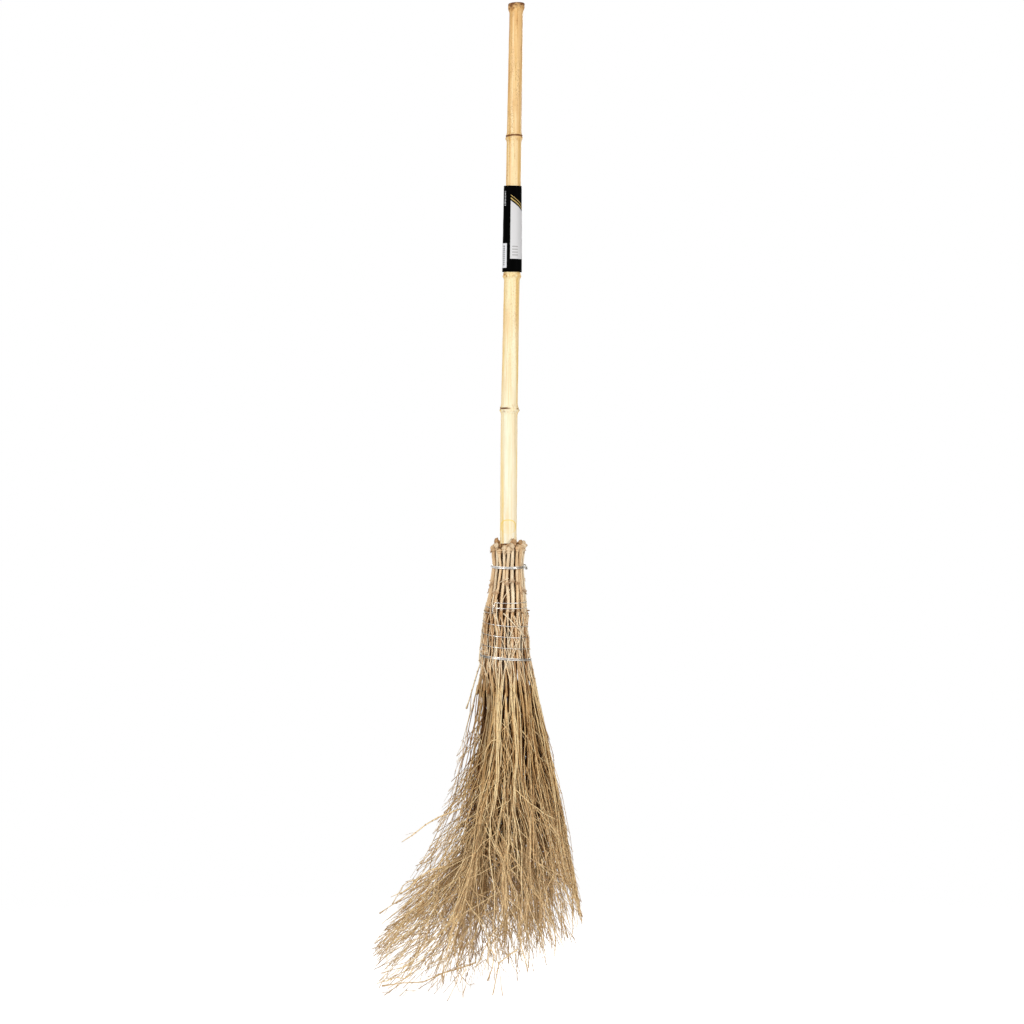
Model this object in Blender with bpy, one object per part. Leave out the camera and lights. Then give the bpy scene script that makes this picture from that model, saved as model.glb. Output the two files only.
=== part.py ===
"""Yard broom: a bamboo cane with a head of real twigs, bound on by wire.

Metres, +Z up. The origin is the middle of the cane's sawn top face, and +X is to the right
and +Y away from someone who looks at the front. A drop is a distance down from the head's top.
"""

import math
import random

import bmesh
import bpy
from mathutils import Matrix, Vector

# Cane: one bamboo culm, cut just over its first node and just under its last.
CANE_LENGTH = 1.030
CANE_TOP_DIAMETER = 0.0200
CANE_BUTT_DIAMETER = 0.0248
CANE_TAPER_SHARE = 0.60
CANE_LEAN = 0.0160
CANE_BOW = 0.0050
CANE_SIDES = 16
NODE_REACH = 0.0085
TOP_NODE_DROP = 0.0085
END_CUP_DIAMETER = 0.0120
END_CUP_DEPTH = 0.0110
# Where each node lies down the cane, how far it has leant over and how proud its ridge stands.
NODE_PLACE_SHARES = (0.0083, 0.195, 0.396, 0.5915, 0.789, 0.985)
NODE_LEAN_SHARES = (0.0, 0.21, 0.41, 0.66, 0.75, 1.0)
NODE_BOW_SHARES = (0.0, 0.55, 1.0, 0.7, 0.2, 0.0)
NODE_SWELL = 0.0024
CUT_GAP = 0.0010
NODE_SWELL_SHARES = (0.92, 0.88, 0.98, 0.96, 0.20, 0.80)
# A node's outline, as places along its reach and parts of its swell: two ridges and a groove.
NODE_OUTLINE_SHARES = (
    (-1.0, 0.0), (-0.5, 0.30), (-0.22, 0.75), (0.0, 0.55), (0.22, 1.0), (0.5, 0.55), (1.0, 0.0)
)

# Label: a strip of card wrapped round the cane and glued into a loose sleeve.
LABEL_HEIGHT = 0.129
LABEL_TOP_WIDTH = 0.0266
LABEL_TOP_DEPTH = 0.0256
LABEL_FOOT_WIDTH = 0.0292
LABEL_FOOT_DEPTH = 0.0264
LABEL_LEAN = 0.0008
LABEL_CARD = 0.0004
LABEL_LAP_DEGREES = 40.0
LABEL_SIDES = 36
LABEL_SEAT_GAP = 0.0003
LABEL_NODE_INDEX = 2

# Head: twigs laid round the cane in two layers, and spread below the last wire.
HEAD_LENGTH = 0.684
CANE_IN_HEAD = 0.224
HEAD_NODE_INDEX = 4
TWIG_DIAMETER = 0.0050
OUTER_BRANCH_DIAMETER = 0.0050
INNER_BRANCH_DIAMETER = 0.0043
STRAND_DIAMETER = 0.0024
KNUCKLE = 0.0006
FIT_GAP = 0.0004
OUTER_TOP_FLARE = 0.0032
INNER_TOP_FLARE = 0.0014
OUTER_GROWTH = 0.0145
INNER_GROWTH = 0.0105
OUTER_BUTT_DROP = 0.0035
BUTT_STAGGER = 0.0065
BUTT_SWELL_SHARE = 0.25
BUTT_HEIGHT = 0.0100
# A butt's outline, as places down its height and parts of the way from a twig to its knob.
BUTT_OUTLINE_SHARES = ((0.0, -1.0), (0.12, 0.5), (0.4, 1.0), (0.7, 0.3), (1.0, 0.0))
KNUCKLE_HEIGHT = 0.0064
KNUCKLE_OUTLINE_SHARES = ((0.0, 0.0), (0.5, 1.0), (1.0, 0.0))
KNUCKLE_DROP = 0.052
KNUCKLE_STAGGER = 0.026
FORK_DROP = 0.107
FORK_STAGGER = 0.004
FORK_HEIGHT = 0.014
FAN_DROP = 0.184
FAN_KNUCKLE_DROP = 0.188
FAN_KNUCKLE_STAGGER = 0.018
STRAND_DROP = 0.214
STRAND_STAGGER = 0.012
TWIG_SIDES = 6

# Fan: how far the twigs spread below FAN_DROP, and how they have swept over to the left.
FAN_SPREAD = 0.032
FAN_SPREAD_POWER = 4.0
FAN_RIGHT = 0.070
FAN_DEPTH = 0.050
FAN_POWER = 1.3
FAN_SWEEP = 0.184
FAN_SWEEP_POWER = 2.7
FAN_RAGGED_SHARES = (-0.055, 0.035)
STRAND_LEVEL_SHARES = (0.40, 0.78)
STRAND_TAPER_SHARES = (0.90, 0.80)
STRAND_WAVER_DEGREES = 1.8
# Where strands end down the fan, from those that lie furthest left to those furthest right.
TIP_ACROSS_SHARES = (-1.0, -0.8, -0.5, 0.0, 0.4, 0.8, 1.0)
TIP_DOWN_SHARES = (0.87, 0.93, 0.96, 0.94, 0.91, 0.86, 0.79)
# Where a branch's four strands go, as shares of the fan's radius and of the branch's sector.
OUTER_STRAND_SHARES = {"out": 1.00, "side": 0.87, "in": 0.73}
INNER_STRAND_SHARES = {"out": 0.59, "side": 0.42, "in": 0.25}
SIDE_SECTOR_SHARE = 0.26
INNER_STAGGER_SHARE = 0.07
SEED = 11

# Wire: two stout bindings of two turns, and two thin ones wound between them.
STOUT_WIRE = 0.0016
THIN_WIRE = 0.0010
STOUT_TURNS = 2
TIE_TURNS = 2
SPIRAL_TURNS = 3
WIRE_GAP = 0.0005
WIRE_BED = 0.0003
LOOP_POINTS = 24
CURL_POINTS = 8
BEND_POINTS = 4
BEND_EASE = 1.5
TWIST_TURNS = 1.5
TWIST_PITCH_SHARE = 4.6
TWIST_BEND_SHARE = 1.5
TWIST_RISE_SHARE = 1.4
TWIST_DIP_DEGREES = 25.0
# Where each wire starts, which side its twisted ends are on, and how it dips as it goes round.
UPPER_WIRE_DROP = 0.0360
UPPER_WIRE_TIE_DEGREES = -12.0
UPPER_WIRE_FRONT_DIP = 0.0025
UPPER_WIRE_SIDE_DIP = 0.0
TIE_WIRE_DROP = 0.0900
TIE_WIRE_PITCH = 0.0080
TIE_WIRE_TIE_DEGREES = -128.0
TIE_WIRE_FRONT_DIP = 0.0030
TIE_WIRE_SIDE_DIP = -0.0010
SPIRAL_WIRE_DROP = 0.1174
SPIRAL_WIRE_PITCH = 0.0165
SPIRAL_WIRE_TIE_DEGREES = 115.0
SPIRAL_WIRE_FRONT_DIP = 0.0035
SPIRAL_WIRE_SIDE_DIP = 0.0
LOWER_WIRE_DROP = 0.1725
LOWER_WIRE_TIE_DEGREES = 50.0
LOWER_WIRE_FRONT_DIP = 0.0020
LOWER_WIRE_SIDE_DIP = 0.0026

HEAD_TOP = CANE_IN_HEAD - CANE_LENGTH
TWIG_RADIUS = TWIG_DIAMETER / 2
STRAND_RADIUS = STRAND_DIAMETER / 2
BRANCH_HALF_WIDTH = OUTER_BRANCH_DIAMETER / 2 * math.cos(math.pi / 4)
KNUCKLE_RADIUS = TWIG_RADIUS + KNUCKLE
HEAD_NODE_SWELL = NODE_SWELL * NODE_SWELL_SHARES[HEAD_NODE_INDEX]
INNER_RADIUS = CANE_BUTT_DIAMETER / 2 + HEAD_NODE_SWELL + FIT_GAP + TWIG_RADIUS
OUTER_RADIUS = INNER_RADIUS + TWIG_DIAMETER + FIT_GAP


def material(name, colour, roughness, metallic=0.0):
    """One plain finish."""
    made = bpy.data.materials.new(name)
    made.use_nodes = True
    shader = made.node_tree.nodes["Principled BSDF"]
    shader.inputs["Base Color"].default_value = (*colour, 1.0)
    shader.inputs["Roughness"].default_value = roughness
    shader.inputs["Metallic"].default_value = metallic
    return made


def add_part(name, data, finish, parent=None):
    """Links one named piece to the scene."""
    part = bpy.data.objects.new(name, data)
    part.data.materials.append(finish)
    part.parent = parent
    bpy.context.scene.collection.objects.link(part)
    return part


def mesh_of(bm, name):
    """Turns a finished bmesh into a mesh with outward faces."""
    bmesh.ops.recalc_face_normals(bm, faces=bm.faces)
    if bm.calc_volume(signed=True) < 0:
        bmesh.ops.reverse_faces(bm, faces=bm.faces)
    mesh = bpy.data.meshes.new(name)
    bm.to_mesh(mesh)
    bm.free()
    mesh.shade_smooth()
    mesh.set_sharp_from_angle(angle=math.radians(50.0))
    return mesh


def between(value, places, amounts):
    """The amount at a value that lies between listed places, on straight lines."""
    for low, high, first, second in zip(places, places[1:], amounts, amounts[1:]):
        if value <= high:
            return first + (second - first) * (value - low) / (high - low)
    return amounts[-1]


def node_drops():
    """How far each node of the cane lies below its top."""
    return [TOP_NODE_DROP] + [CANE_LENGTH * share for share in NODE_PLACE_SHARES[1:]]


def axis_at(z):
    """A point on the cane's and the head's common axis."""
    places = [0.0, *node_drops()]
    lean = between(-z, places, [0.0, *NODE_LEAN_SHARES])
    bow = between(-z, places, [0.0, *NODE_BOW_SHARES])
    return Vector((-CANE_LEAN * lean, CANE_BOW * bow, z))


def stalk_radius(depth):
    """The cane's radius between its nodes."""
    taper = min(depth / (CANE_LENGTH * CANE_TAPER_SHARE), 1.0)
    return (CANE_TOP_DIAMETER + (CANE_BUTT_DIAMETER - CANE_TOP_DIAMETER) * taper) / 2


def cane_rings():
    """Depth and radius of each ring of the cane, which is cut across its first and last nodes."""
    rings = []
    for depth, swell in zip(node_drops(), NODE_SWELL_SHARES):
        for along, height in NODE_OUTLINE_SHARES:
            place = depth + NODE_REACH * along
            if CUT_GAP < place < CANE_LENGTH - CUT_GAP:
                rings.append((place, stalk_radius(depth) + NODE_SWELL * swell * height))
    return [(0.0, rings[0][1]), *rings, (CANE_LENGTH, rings[-1][1])]


def next_ring(bm, face, centre, radius):
    """Extrudes an end face to its next place, as a ring with even corners, so the skin goes on."""
    grown = bmesh.ops.extrude_discrete_faces(bm, faces=[face])["faces"][0]
    middle = grown.calc_center_median()
    corners = sorted((math.atan2(*(vert.co - middle).yx), vert.index, vert) for vert in grown.verts)
    step = 2 * math.pi / len(corners)
    turn = sum(corner[0] - step * order for order, corner in enumerate(corners)) / len(corners)
    for order, (_, _, vert) in enumerate(corners):
        angle = turn + step * order
        vert.co = centre + Vector((math.cos(angle), math.sin(angle), 0.0)) * radius
    return grown


def start_stem(bm, sides, top, top_radius, below, below_radius, turn):
    """A first short length of stem between two points, and the face at its lower end."""
    bmesh.ops.create_cone(bm, cap_ends=True, segments=sides, radius1=1.0, radius2=1.0, depth=1.0)
    for vert in bm.verts:
        angle = math.atan2(vert.co.y, vert.co.x) + turn
        centre, radius = (top, top_radius) if vert.co.z > 0 else (below, below_radius)
        vert.co = centre + Vector((math.cos(angle), math.sin(angle), 0.0)) * radius
    return min(bm.faces, key=lambda face: face.calc_center_median().z)


def build_cane(finish):
    """The culm, with a cup at its lower end where the last hollow is cut open."""
    bm = bmesh.new()
    rings = [(axis_at(-depth), radius) for depth, radius in cane_rings()]
    end = start_stem(bm, CANE_SIDES, *rings[0], *rings[1], 0.0)
    for centre, radius in rings[2:]:
        end = next_ring(bm, end, centre, radius)
    lip = next_ring(bm, end, axis_at(-CANE_LENGTH), END_CUP_DIAMETER / 2)
    next_ring(bm, lip, axis_at(END_CUP_DEPTH - CANE_LENGTH), END_CUP_DIAMETER / 2)
    return add_part("bamboo_cane", mesh_of(bm, "bamboo_cane"), finish)


def label_slide():
    """Where the label's foot rests, and the way it slides: up along its own length of cane."""
    drops = node_drops()
    ridge = NODE_OUTLINE_SHARES[1][0] * NODE_REACH
    foot = axis_at(-drops[LABEL_NODE_INDEX] - ridge + LABEL_SEAT_GAP)
    way = axis_at(-drops[LABEL_NODE_INDEX - 1]) - axis_at(-drops[LABEL_NODE_INDEX])
    return foot, way.normalized()


def build_label(finish, carrier):
    """A loose, slightly oval card sleeve, doubled at the back where its two ends are glued."""
    bm = bmesh.new()
    bmesh.ops.create_cone(
        bm, cap_ends=False, segments=LABEL_SIDES, radius1=0.5, radius2=0.5, depth=LABEL_HEIGHT
    )
    half_lap = math.radians(LABEL_LAP_DEGREES) / 2
    lap = [vert for vert in bm.verts if abs(math.atan2(vert.co.x, vert.co.y)) < half_lap]
    for vert in bm.verts:
        rise = vert.co.z / LABEL_HEIGHT + 0.5
        vert.co.x *= LABEL_FOOT_WIDTH + (LABEL_TOP_WIDTH - LABEL_FOOT_WIDTH) * rise
        vert.co.y *= LABEL_FOOT_DEPTH + (LABEL_TOP_DEPTH - LABEL_FOOT_DEPTH) * rise
    bmesh.ops.solidify(bm, geom=bm.faces[:], thickness=LABEL_CARD)
    for vert in lap:
        vert.co.y += LABEL_CARD
    bmesh.ops.translate(bm, verts=bm.verts, vec=(0.0, 0.0, LABEL_HEIGHT / 2))
    for vert in bm.verts:
        vert.co.x -= LABEL_LEAN * vert.co.z / LABEL_HEIGHT
    foot, way = label_slide()
    sleeve = add_part("label_sleeve", mesh_of(bm, "label_sleeve"), finish, carrier)
    carrier.location = foot
    carrier.rotation_mode = "QUATERNION"
    carrier.rotation_quaternion = Vector((0.0, 0.0, 1.0)).rotation_difference(way)
    return sleeve


def layer_radius(outer, drop):
    """How far the middle of a layer of twigs lies from the axis, down to FAN_DROP."""
    base = OUTER_RADIUS if outer else INNER_RADIUS
    growth = OUTER_GROWTH if outer else INNER_GROWTH
    if drop < UPPER_WIRE_DROP:
        flare = OUTER_TOP_FLARE if outer else INNER_TOP_FLARE
        return base + flare * (UPPER_WIRE_DROP - drop) / UPPER_WIRE_DROP
    return base + growth * (drop - UPPER_WIRE_DROP) / (FAN_DROP - UPPER_WIRE_DROP)


def neck_point(outer, angle, drop):
    """The middle of a twig in the bound part of the head."""
    way = Vector((math.cos(angle), math.sin(angle), 0.0))
    return axis_at(HEAD_TOP - drop) + way * layer_radius(outer, drop)


def skin_radius():
    """The fan's radius where it begins, out to the outer twigs' backs."""
    return layer_radius(True, FAN_DROP) + BRANCH_HALF_WIDTH


def fan_half_sizes(across, share):
    """The fan's half width, on the side that across points to, and its half depth."""
    spread = skin_radius() + FAN_SPREAD * (1 - (1 - share) ** FAN_SPREAD_POWER)
    side = FAN_RIGHT * share**FAN_POWER if across > 0 else FAN_SWEEP * share**FAN_SWEEP_POWER
    return spread + side, spread + FAN_DEPTH * share**FAN_POWER


def fan_point(across, back, share):
    """A point in the fan: across and back are shares of its half width and half depth."""
    wide, deep = fan_half_sizes(across, share)
    drop = FAN_DROP + (HEAD_LENGTH - FAN_DROP) * share
    return axis_at(HEAD_TOP - drop) + Vector((wide * across, deep * back, 0.0))


def fan_share(drop):
    """How far down the fan a drop lies, from 0 to 1."""
    return (drop - FAN_DROP) / (HEAD_LENGTH - FAN_DROP)


def tip_share(across, rng):
    """How far down the fan a strand ends: the twigs on the right are shorter, and all are ragged."""
    return between(across, TIP_ACROSS_SHARES, TIP_DOWN_SHARES) + rng.uniform(*FAN_RAGGED_SHARES)


def build_strand(bm, face, angle, radius_share, rng):
    """One strand of a branch: a three-sided taper from its own corner of the branch to its tip."""
    start = face.calc_center_median()
    first_share = fan_share(HEAD_TOP - start.z)
    aside = start - axis_at(start.z)
    wide, deep = fan_half_sizes(aside.x, first_share)
    first = Vector((aside.x / wide, aside.y / deep))
    goal = Vector((math.cos(angle), math.sin(angle))) * radius_share
    last_share = tip_share(goal.x, rng)
    waver = math.radians(STRAND_WAVER_DEGREES)
    for level, taper in zip(STRAND_LEVEL_SHARES, STRAND_TAPER_SHARES):
        here = first.lerp(goal, level)
        here.rotate(Matrix.Rotation(rng.uniform(-waver, waver), 2))
        share = first_share + (last_share - first_share) * level
        face = next_ring(bm, face, fan_point(here.x, here.y, share), STRAND_RADIUS * taper)
    point = bmesh.ops.poke(bm, faces=[face])["verts"][0]
    point.co = fan_point(goal.x, goal.y, last_share)


def build_branch(bm, face, outer, angle, sector, place, rng):
    """Half of a forked twig: it runs on under the wires, swells at a knuckle and divides in four."""
    radius = (OUTER_BRANCH_DIAMETER if outer else INNER_BRANCH_DIAMETER) / 2
    for drop in (FORK_DROP + FORK_HEIGHT, FAN_DROP):
        face = next_ring(bm, face, neck_point(outer, angle, drop), radius)
    start = layer_radius(outer, FAN_DROP) / skin_radius()
    across, back = math.cos(angle) * start, math.sin(angle) * start
    knuckle = FAN_KNUCKLE_DROP + FAN_KNUCKLE_STAGGER * rng.random()
    if outer:
        for down, swell in KNUCKLE_OUTLINE_SHARES:
            share = fan_share(knuckle + KNUCKLE_HEIGHT * down)
            face = next_ring(bm, face, fan_point(across, back, share), radius + KNUCKLE * swell)
    end = STRAND_DROP + STRAND_STAGGER * rng.random()
    face = next_ring(bm, face, fan_point(across, back, fan_share(end)), radius)

    middle = face.calc_center_median()
    outward = Vector((math.cos(angle), math.sin(angle), 0.0))
    along = Vector((-outward.y, outward.x, 0.0))
    parts = bmesh.ops.poke(bm, faces=[face])["faces"]
    parts.sort(key=lambda part: (part.calc_center_median() - middle).dot(outward))
    sides = sorted(parts[1:3], key=lambda part: (part.calc_center_median() - middle).dot(along))
    shares = OUTER_STRAND_SHARES if outer else INNER_STRAND_SHARES
    stagger = 0.0 if outer else INNER_STAGGER_SHARE * place / 2
    turn = sector * SIDE_SECTOR_SHARE
    build_strand(bm, parts[3], angle, shares["out"] + stagger, rng)
    build_strand(bm, parts[0], angle, shares["in"] + stagger, rng)
    build_strand(bm, sides[0], angle - turn, shares["side"] + stagger, rng)
    build_strand(bm, sides[1], angle + turn, shares["side"] + stagger, rng)


def build_twig(name, outer, order, count, finish):
    """One whole twig, from its swollen butt to the tips of its strands, as one skin."""
    rng = random.Random(f"{name} {SEED}")
    sector = 2 * math.pi / count
    angle = sector * (order + (0.5 if outer else 0.0))
    bm = bmesh.new()
    butt = BUTT_STAGGER * rng.random() + (OUTER_BUTT_DROP if outer else 0.0)
    knob = BUTT_SWELL_SHARE * (OUTER_TOP_FLARE if outer else INNER_TOP_FLARE)
    rings = [
        (neck_point(outer, angle, butt + BUTT_HEIGHT * down), TWIG_RADIUS + knob * swell)
        for down, swell in BUTT_OUTLINE_SHARES
    ]
    face = start_stem(bm, TWIG_SIDES, *rings[0], *rings[1], angle - math.pi / 2)
    for centre, radius in rings[2:]:
        face = next_ring(bm, face, centre, radius)
    face = next_ring(bm, face, neck_point(outer, angle, UPPER_WIRE_DROP), TWIG_RADIUS)
    if outer:
        knuckle = KNUCKLE_DROP + KNUCKLE_STAGGER * rng.random()
        for down, swell in KNUCKLE_OUTLINE_SHARES:
            centre = neck_point(outer, angle, knuckle + KNUCKLE_HEIGHT * down)
            face = next_ring(bm, face, centre, TWIG_RADIUS + KNUCKLE * swell)
    fork = FORK_DROP - FORK_STAGGER * rng.random()
    face = next_ring(bm, face, neck_point(outer, angle, fork), TWIG_RADIUS)

    outward = Vector((math.cos(angle), math.sin(angle), 0.0))
    along = Vector((-outward.y, outward.x, 0.0))
    corners = sorted(face.verts, key=lambda vert: vert.co.dot(outward))
    half, _ = bmesh.utils.face_split(face, corners[0], corners[-1])
    halves = sorted((face, half), key=lambda part: part.calc_center_median().dot(along))
    for place, part in zip((-1, 1), halves):
        build_branch(bm, part, outer, angle + place * sector / 4, sector / 2, place, rng)
    return add_part(name, mesh_of(bm, name), finish)


def build_layer(outer, finish):
    """A layer of twigs, as many as fit round the one inside it."""
    radius = OUTER_RADIUS if outer else INNER_RADIUS
    pitch = TWIG_RADIUS + FIT_GAP + (KNUCKLE_RADIUS if outer else TWIG_RADIUS)
    count = math.floor(2 * math.pi * radius / pitch)
    label = "outer_twig" if outer else "inner_twig"
    for order in range(count):
        build_twig(f"{label}_{order + 1:02d}", outer, order, count, finish)


def wire_bed(drop):
    """The radius that a wire's underside has to clear at a drop."""
    half = TWIG_RADIUS if drop < FORK_DROP + FORK_HEIGHT else BRANCH_HALF_WIDTH
    return layer_radius(True, drop) + half + WIRE_BED


def wire_loop_point(angle, drop, radius):
    """A point on a turn of wire, wide enough for its straight runs to clear the twigs."""
    way = Vector((math.cos(angle), math.sin(angle), 0.0))
    reach = (wire_bed(drop) + radius) / math.cos(math.pi / LOOP_POINTS)
    return axis_at(HEAD_TOP - drop) + way * reach


def wire_drop(angle, first, drop, pitch, front_dip, side_dip):
    """How far down a turn lies: it winds down by the pitch and dips to the front and the right."""
    wound = pitch * (angle - first) / (2 * math.pi)
    return drop + wound - front_dip * math.sin(angle) + side_dip * math.cos(angle)


def wire_path(diameter, turns, pitch, drop, tie_degrees, front_dip, side_dip):
    """One wire's line: a twisted leg, the turns, and the other leg, twisted round the first."""
    radius = diameter / 2
    tie_angle = math.radians(tie_degrees)
    twist_radius = radius + WIRE_GAP / 2
    bend = diameter * TWIST_BEND_SHARE
    rise = (diameter + WIRE_GAP) * TWIST_RISE_SHARE
    opening = (twist_radius + bend) / (wire_bed(drop) + radius)
    first, last = tie_angle + opening, tie_angle + 2 * math.pi * turns - opening
    steps = round(LOOP_POINTS * turns)
    turned = [first + (last - first) * step / steps for step in range(steps + 1)]
    drops = [wire_drop(angle, tie_angle, drop, pitch, front_dip, side_dip) for angle in turned]
    loops = [wire_loop_point(angle, low, radius) for angle, low in zip(turned, drops)]

    outward = Vector((math.cos(tie_angle), math.sin(tie_angle), 0.0))
    along = Vector((-outward.y, outward.x, 0.0))
    dip = math.radians(TWIST_DIP_DEGREES)
    leg = outward * math.cos(dip) - Vector((0.0, 0.0, 1.0)) * math.sin(dip)
    normal = along.cross(leg)
    tie_drop = (drops[0] + drops[-1]) / 2
    base = wire_loop_point(tie_angle, tie_drop, radius) + outward * rise
    legs = []
    for side, end_drop in ((1, drops[0]), (-1, drops[-1])):
        points = []
        for step in range(1, BEND_POINTS + 1):
            share = step / BEND_POINTS
            turn = math.pi / 2 * share**BEND_EASE
            low = tie_drop + (end_drop - tie_drop) * math.cos(turn)
            inward = twist_radius + bend * (1 - share) ** 2
            over = outward * (rise * math.sin(turn)) + along * (side * inward)
            points.append(wire_loop_point(tie_angle, low, radius) + over)
        for step in range(1, round(CURL_POINTS * TWIST_TURNS) + 1):
            turn = 2 * math.pi * step / CURL_POINTS
            spoke = along * math.cos(turn) + normal * math.sin(turn)
            out = diameter * TWIST_PITCH_SHARE * step / CURL_POINTS
            points.append(base + leg * out + spoke * (side * twist_radius))
        legs.append(points)
    return legs[0][::-1] + loops + legs[1]


def least_gap(points, diameter):
    """The least distance between two lengths of the same wire that aren't neighbours."""
    length = [0.0]
    for first, second in zip(points, points[1:]):
        length.append(length[-1] + (second - first).length)
    nearest = math.inf
    for i, first in enumerate(points):
        for j in range(i + 1, len(points)):
            if length[j] - length[i] > math.pi * diameter:
                nearest = min(nearest, (points[j] - first).length)
    return nearest - diameter


def build_wire(name, finish, *shape):
    """A binding of soft iron wire, as one unbroken tube."""
    diameter = shape[0]
    points = wire_path(*shape)
    curve = bpy.data.curves.new(name, "CURVE")
    curve.dimensions = "3D"
    curve.bevel_depth = diameter / 2
    curve.bevel_resolution = 1
    curve.use_fill_caps = True
    spline = curve.splines.new("POLY")
    spline.points.add(len(points) - 1)
    for place, point in zip(spline.points, points):
        place.co = (*point, 1.0)
    print(f"{name}: least gap to itself {least_gap(points, diameter) * 1000:.2f} mm")
    return add_part(name, curve, finish)


def build_wires(finish):
    """The two stout bindings, the tie and the spiral between them."""
    pitch = STOUT_WIRE + WIRE_GAP
    build_wire(
        "upper_binding_wire", finish, STOUT_WIRE, STOUT_TURNS, pitch, UPPER_WIRE_DROP,
        UPPER_WIRE_TIE_DEGREES, UPPER_WIRE_FRONT_DIP, UPPER_WIRE_SIDE_DIP,
    )
    build_wire(
        "tie_wire", finish, THIN_WIRE, TIE_TURNS, TIE_WIRE_PITCH, TIE_WIRE_DROP,
        TIE_WIRE_TIE_DEGREES, TIE_WIRE_FRONT_DIP, TIE_WIRE_SIDE_DIP,
    )
    build_wire(
        "spiral_wire", finish, THIN_WIRE, SPIRAL_TURNS, SPIRAL_WIRE_PITCH, SPIRAL_WIRE_DROP,
        SPIRAL_WIRE_TIE_DEGREES, SPIRAL_WIRE_FRONT_DIP, SPIRAL_WIRE_SIDE_DIP,
    )
    build_wire(
        "lower_binding_wire", finish, STOUT_WIRE, STOUT_TURNS, pitch, LOWER_WIRE_DROP,
        LOWER_WIRE_TIE_DEGREES, LOWER_WIRE_FRONT_DIP, LOWER_WIRE_SIDE_DIP,
    )


def main():
    for old in list(bpy.data.objects):
        bpy.data.objects.remove(old)
    bamboo = material("bamboo", (0.86, 0.66, 0.36), 0.45)
    twig = material("dry_twig", (0.55, 0.40, 0.22), 0.80)
    steel = material("galvanised_wire", (0.62, 0.62, 0.60), 0.35, 1.0)
    card = material("printed_card", (0.02, 0.02, 0.02), 0.40)

    build_cane(bamboo)
    carrier = bpy.data.objects.new("label_slide_axis", None)
    bpy.context.scene.collection.objects.link(carrier)
    build_label(card, carrier)
    build_layer(False, twig)
    build_layer(True, twig)
    build_wires(steel)


main()
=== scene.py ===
"""A yard broom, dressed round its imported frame: a bamboo cane and real twigs bound on by wire.

Metres, +Z up, in the frame's own axes. A drop is a distance down from the top of the head.
"""

import math
import random

import bmesh
import bpy
from mathutils import Matrix, Vector, noise


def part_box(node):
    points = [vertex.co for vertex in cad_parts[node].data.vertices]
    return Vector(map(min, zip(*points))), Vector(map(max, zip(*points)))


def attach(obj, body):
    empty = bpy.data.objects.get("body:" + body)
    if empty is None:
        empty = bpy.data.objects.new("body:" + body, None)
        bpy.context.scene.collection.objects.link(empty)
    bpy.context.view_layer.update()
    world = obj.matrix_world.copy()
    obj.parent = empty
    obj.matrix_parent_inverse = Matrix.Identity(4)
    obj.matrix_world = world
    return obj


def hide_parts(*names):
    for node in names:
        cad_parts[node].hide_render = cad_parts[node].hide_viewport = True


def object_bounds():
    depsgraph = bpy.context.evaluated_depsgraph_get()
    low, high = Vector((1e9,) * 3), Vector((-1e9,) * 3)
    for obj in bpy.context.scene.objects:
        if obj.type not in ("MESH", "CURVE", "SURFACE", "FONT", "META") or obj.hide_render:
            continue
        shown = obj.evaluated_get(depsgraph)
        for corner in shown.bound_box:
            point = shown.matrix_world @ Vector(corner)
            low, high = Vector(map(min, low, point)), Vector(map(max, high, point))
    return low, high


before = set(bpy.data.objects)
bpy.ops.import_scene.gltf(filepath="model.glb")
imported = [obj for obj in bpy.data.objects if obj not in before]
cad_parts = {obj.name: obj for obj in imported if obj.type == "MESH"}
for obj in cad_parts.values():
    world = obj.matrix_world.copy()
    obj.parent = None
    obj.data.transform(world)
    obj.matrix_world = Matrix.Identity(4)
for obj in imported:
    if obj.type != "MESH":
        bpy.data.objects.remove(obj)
cad_low, cad_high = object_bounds()

# Camera: level with the broom's middle and square to its front, a few steps away. The middle of
# the cane's top is seen at CANE_COLUMN and CANE_TOP_ROW.
PHOTO_SIZE = 1024
METRES_PER_PIXEL = 0.0015
CANE_COLUMN = 516.3
CANE_TOP_ROW = 3.0
CAMERA_DISTANCE = 6.0

eye = Vector((PHOTO_SIZE / 2 - CANE_COLUMN, 0.0, CANE_TOP_ROW - PHOTO_SIZE / 2)) * METRES_PER_PIXEL
eye.y = -CAMERA_DISTANCE


def seen_at(column, row, depth=0.0):
    """The place that a spot of the 1024 pixel frame shows, in the plane at that depth."""
    across, down = column - PHOTO_SIZE / 2, row - PHOTO_SIZE / 2
    size = METRES_PER_PIXEL * (1 + depth / CAMERA_DISTANCE)
    return Vector((eye.x + across * size, depth, eye.z - down * size))


camera_data = bpy.data.cameras.new("camera")
camera_data.lens = camera_data.sensor_width * CAMERA_DISTANCE / (PHOTO_SIZE * METRES_PER_PIXEL)
camera = bpy.data.objects.new("camera", camera_data)
camera.location = eye
camera.rotation_euler = (math.pi / 2, 0.0, 0.0)
bpy.context.scene.collection.objects.link(camera)
bpy.context.scene.camera = camera
bpy.context.scene.view_settings.view_transform = "Standard"

# Studio light: a large soft lamp up at the left of the camera, a weaker one at the right, one
# behind, and a white room, which is seen at full strength but lights with only part of it.
LAMPS = {
    "key": (80.0, (-2.1, -2.45, 0.5)), "fill": (57.0, (2.6, -1.95, -0.3)),
    "back": (46.0, (0.4, 2.9, 0.5)),
}
LAMP_SIZE = 1.4
LAMP_AIM = Vector((0.0, 0.0, -0.85))
ROOM_LIGHT = 0.27


def link(tree, source, target):
    """Joins an output socket to an input socket."""
    tree.links.new(source, target)


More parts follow.
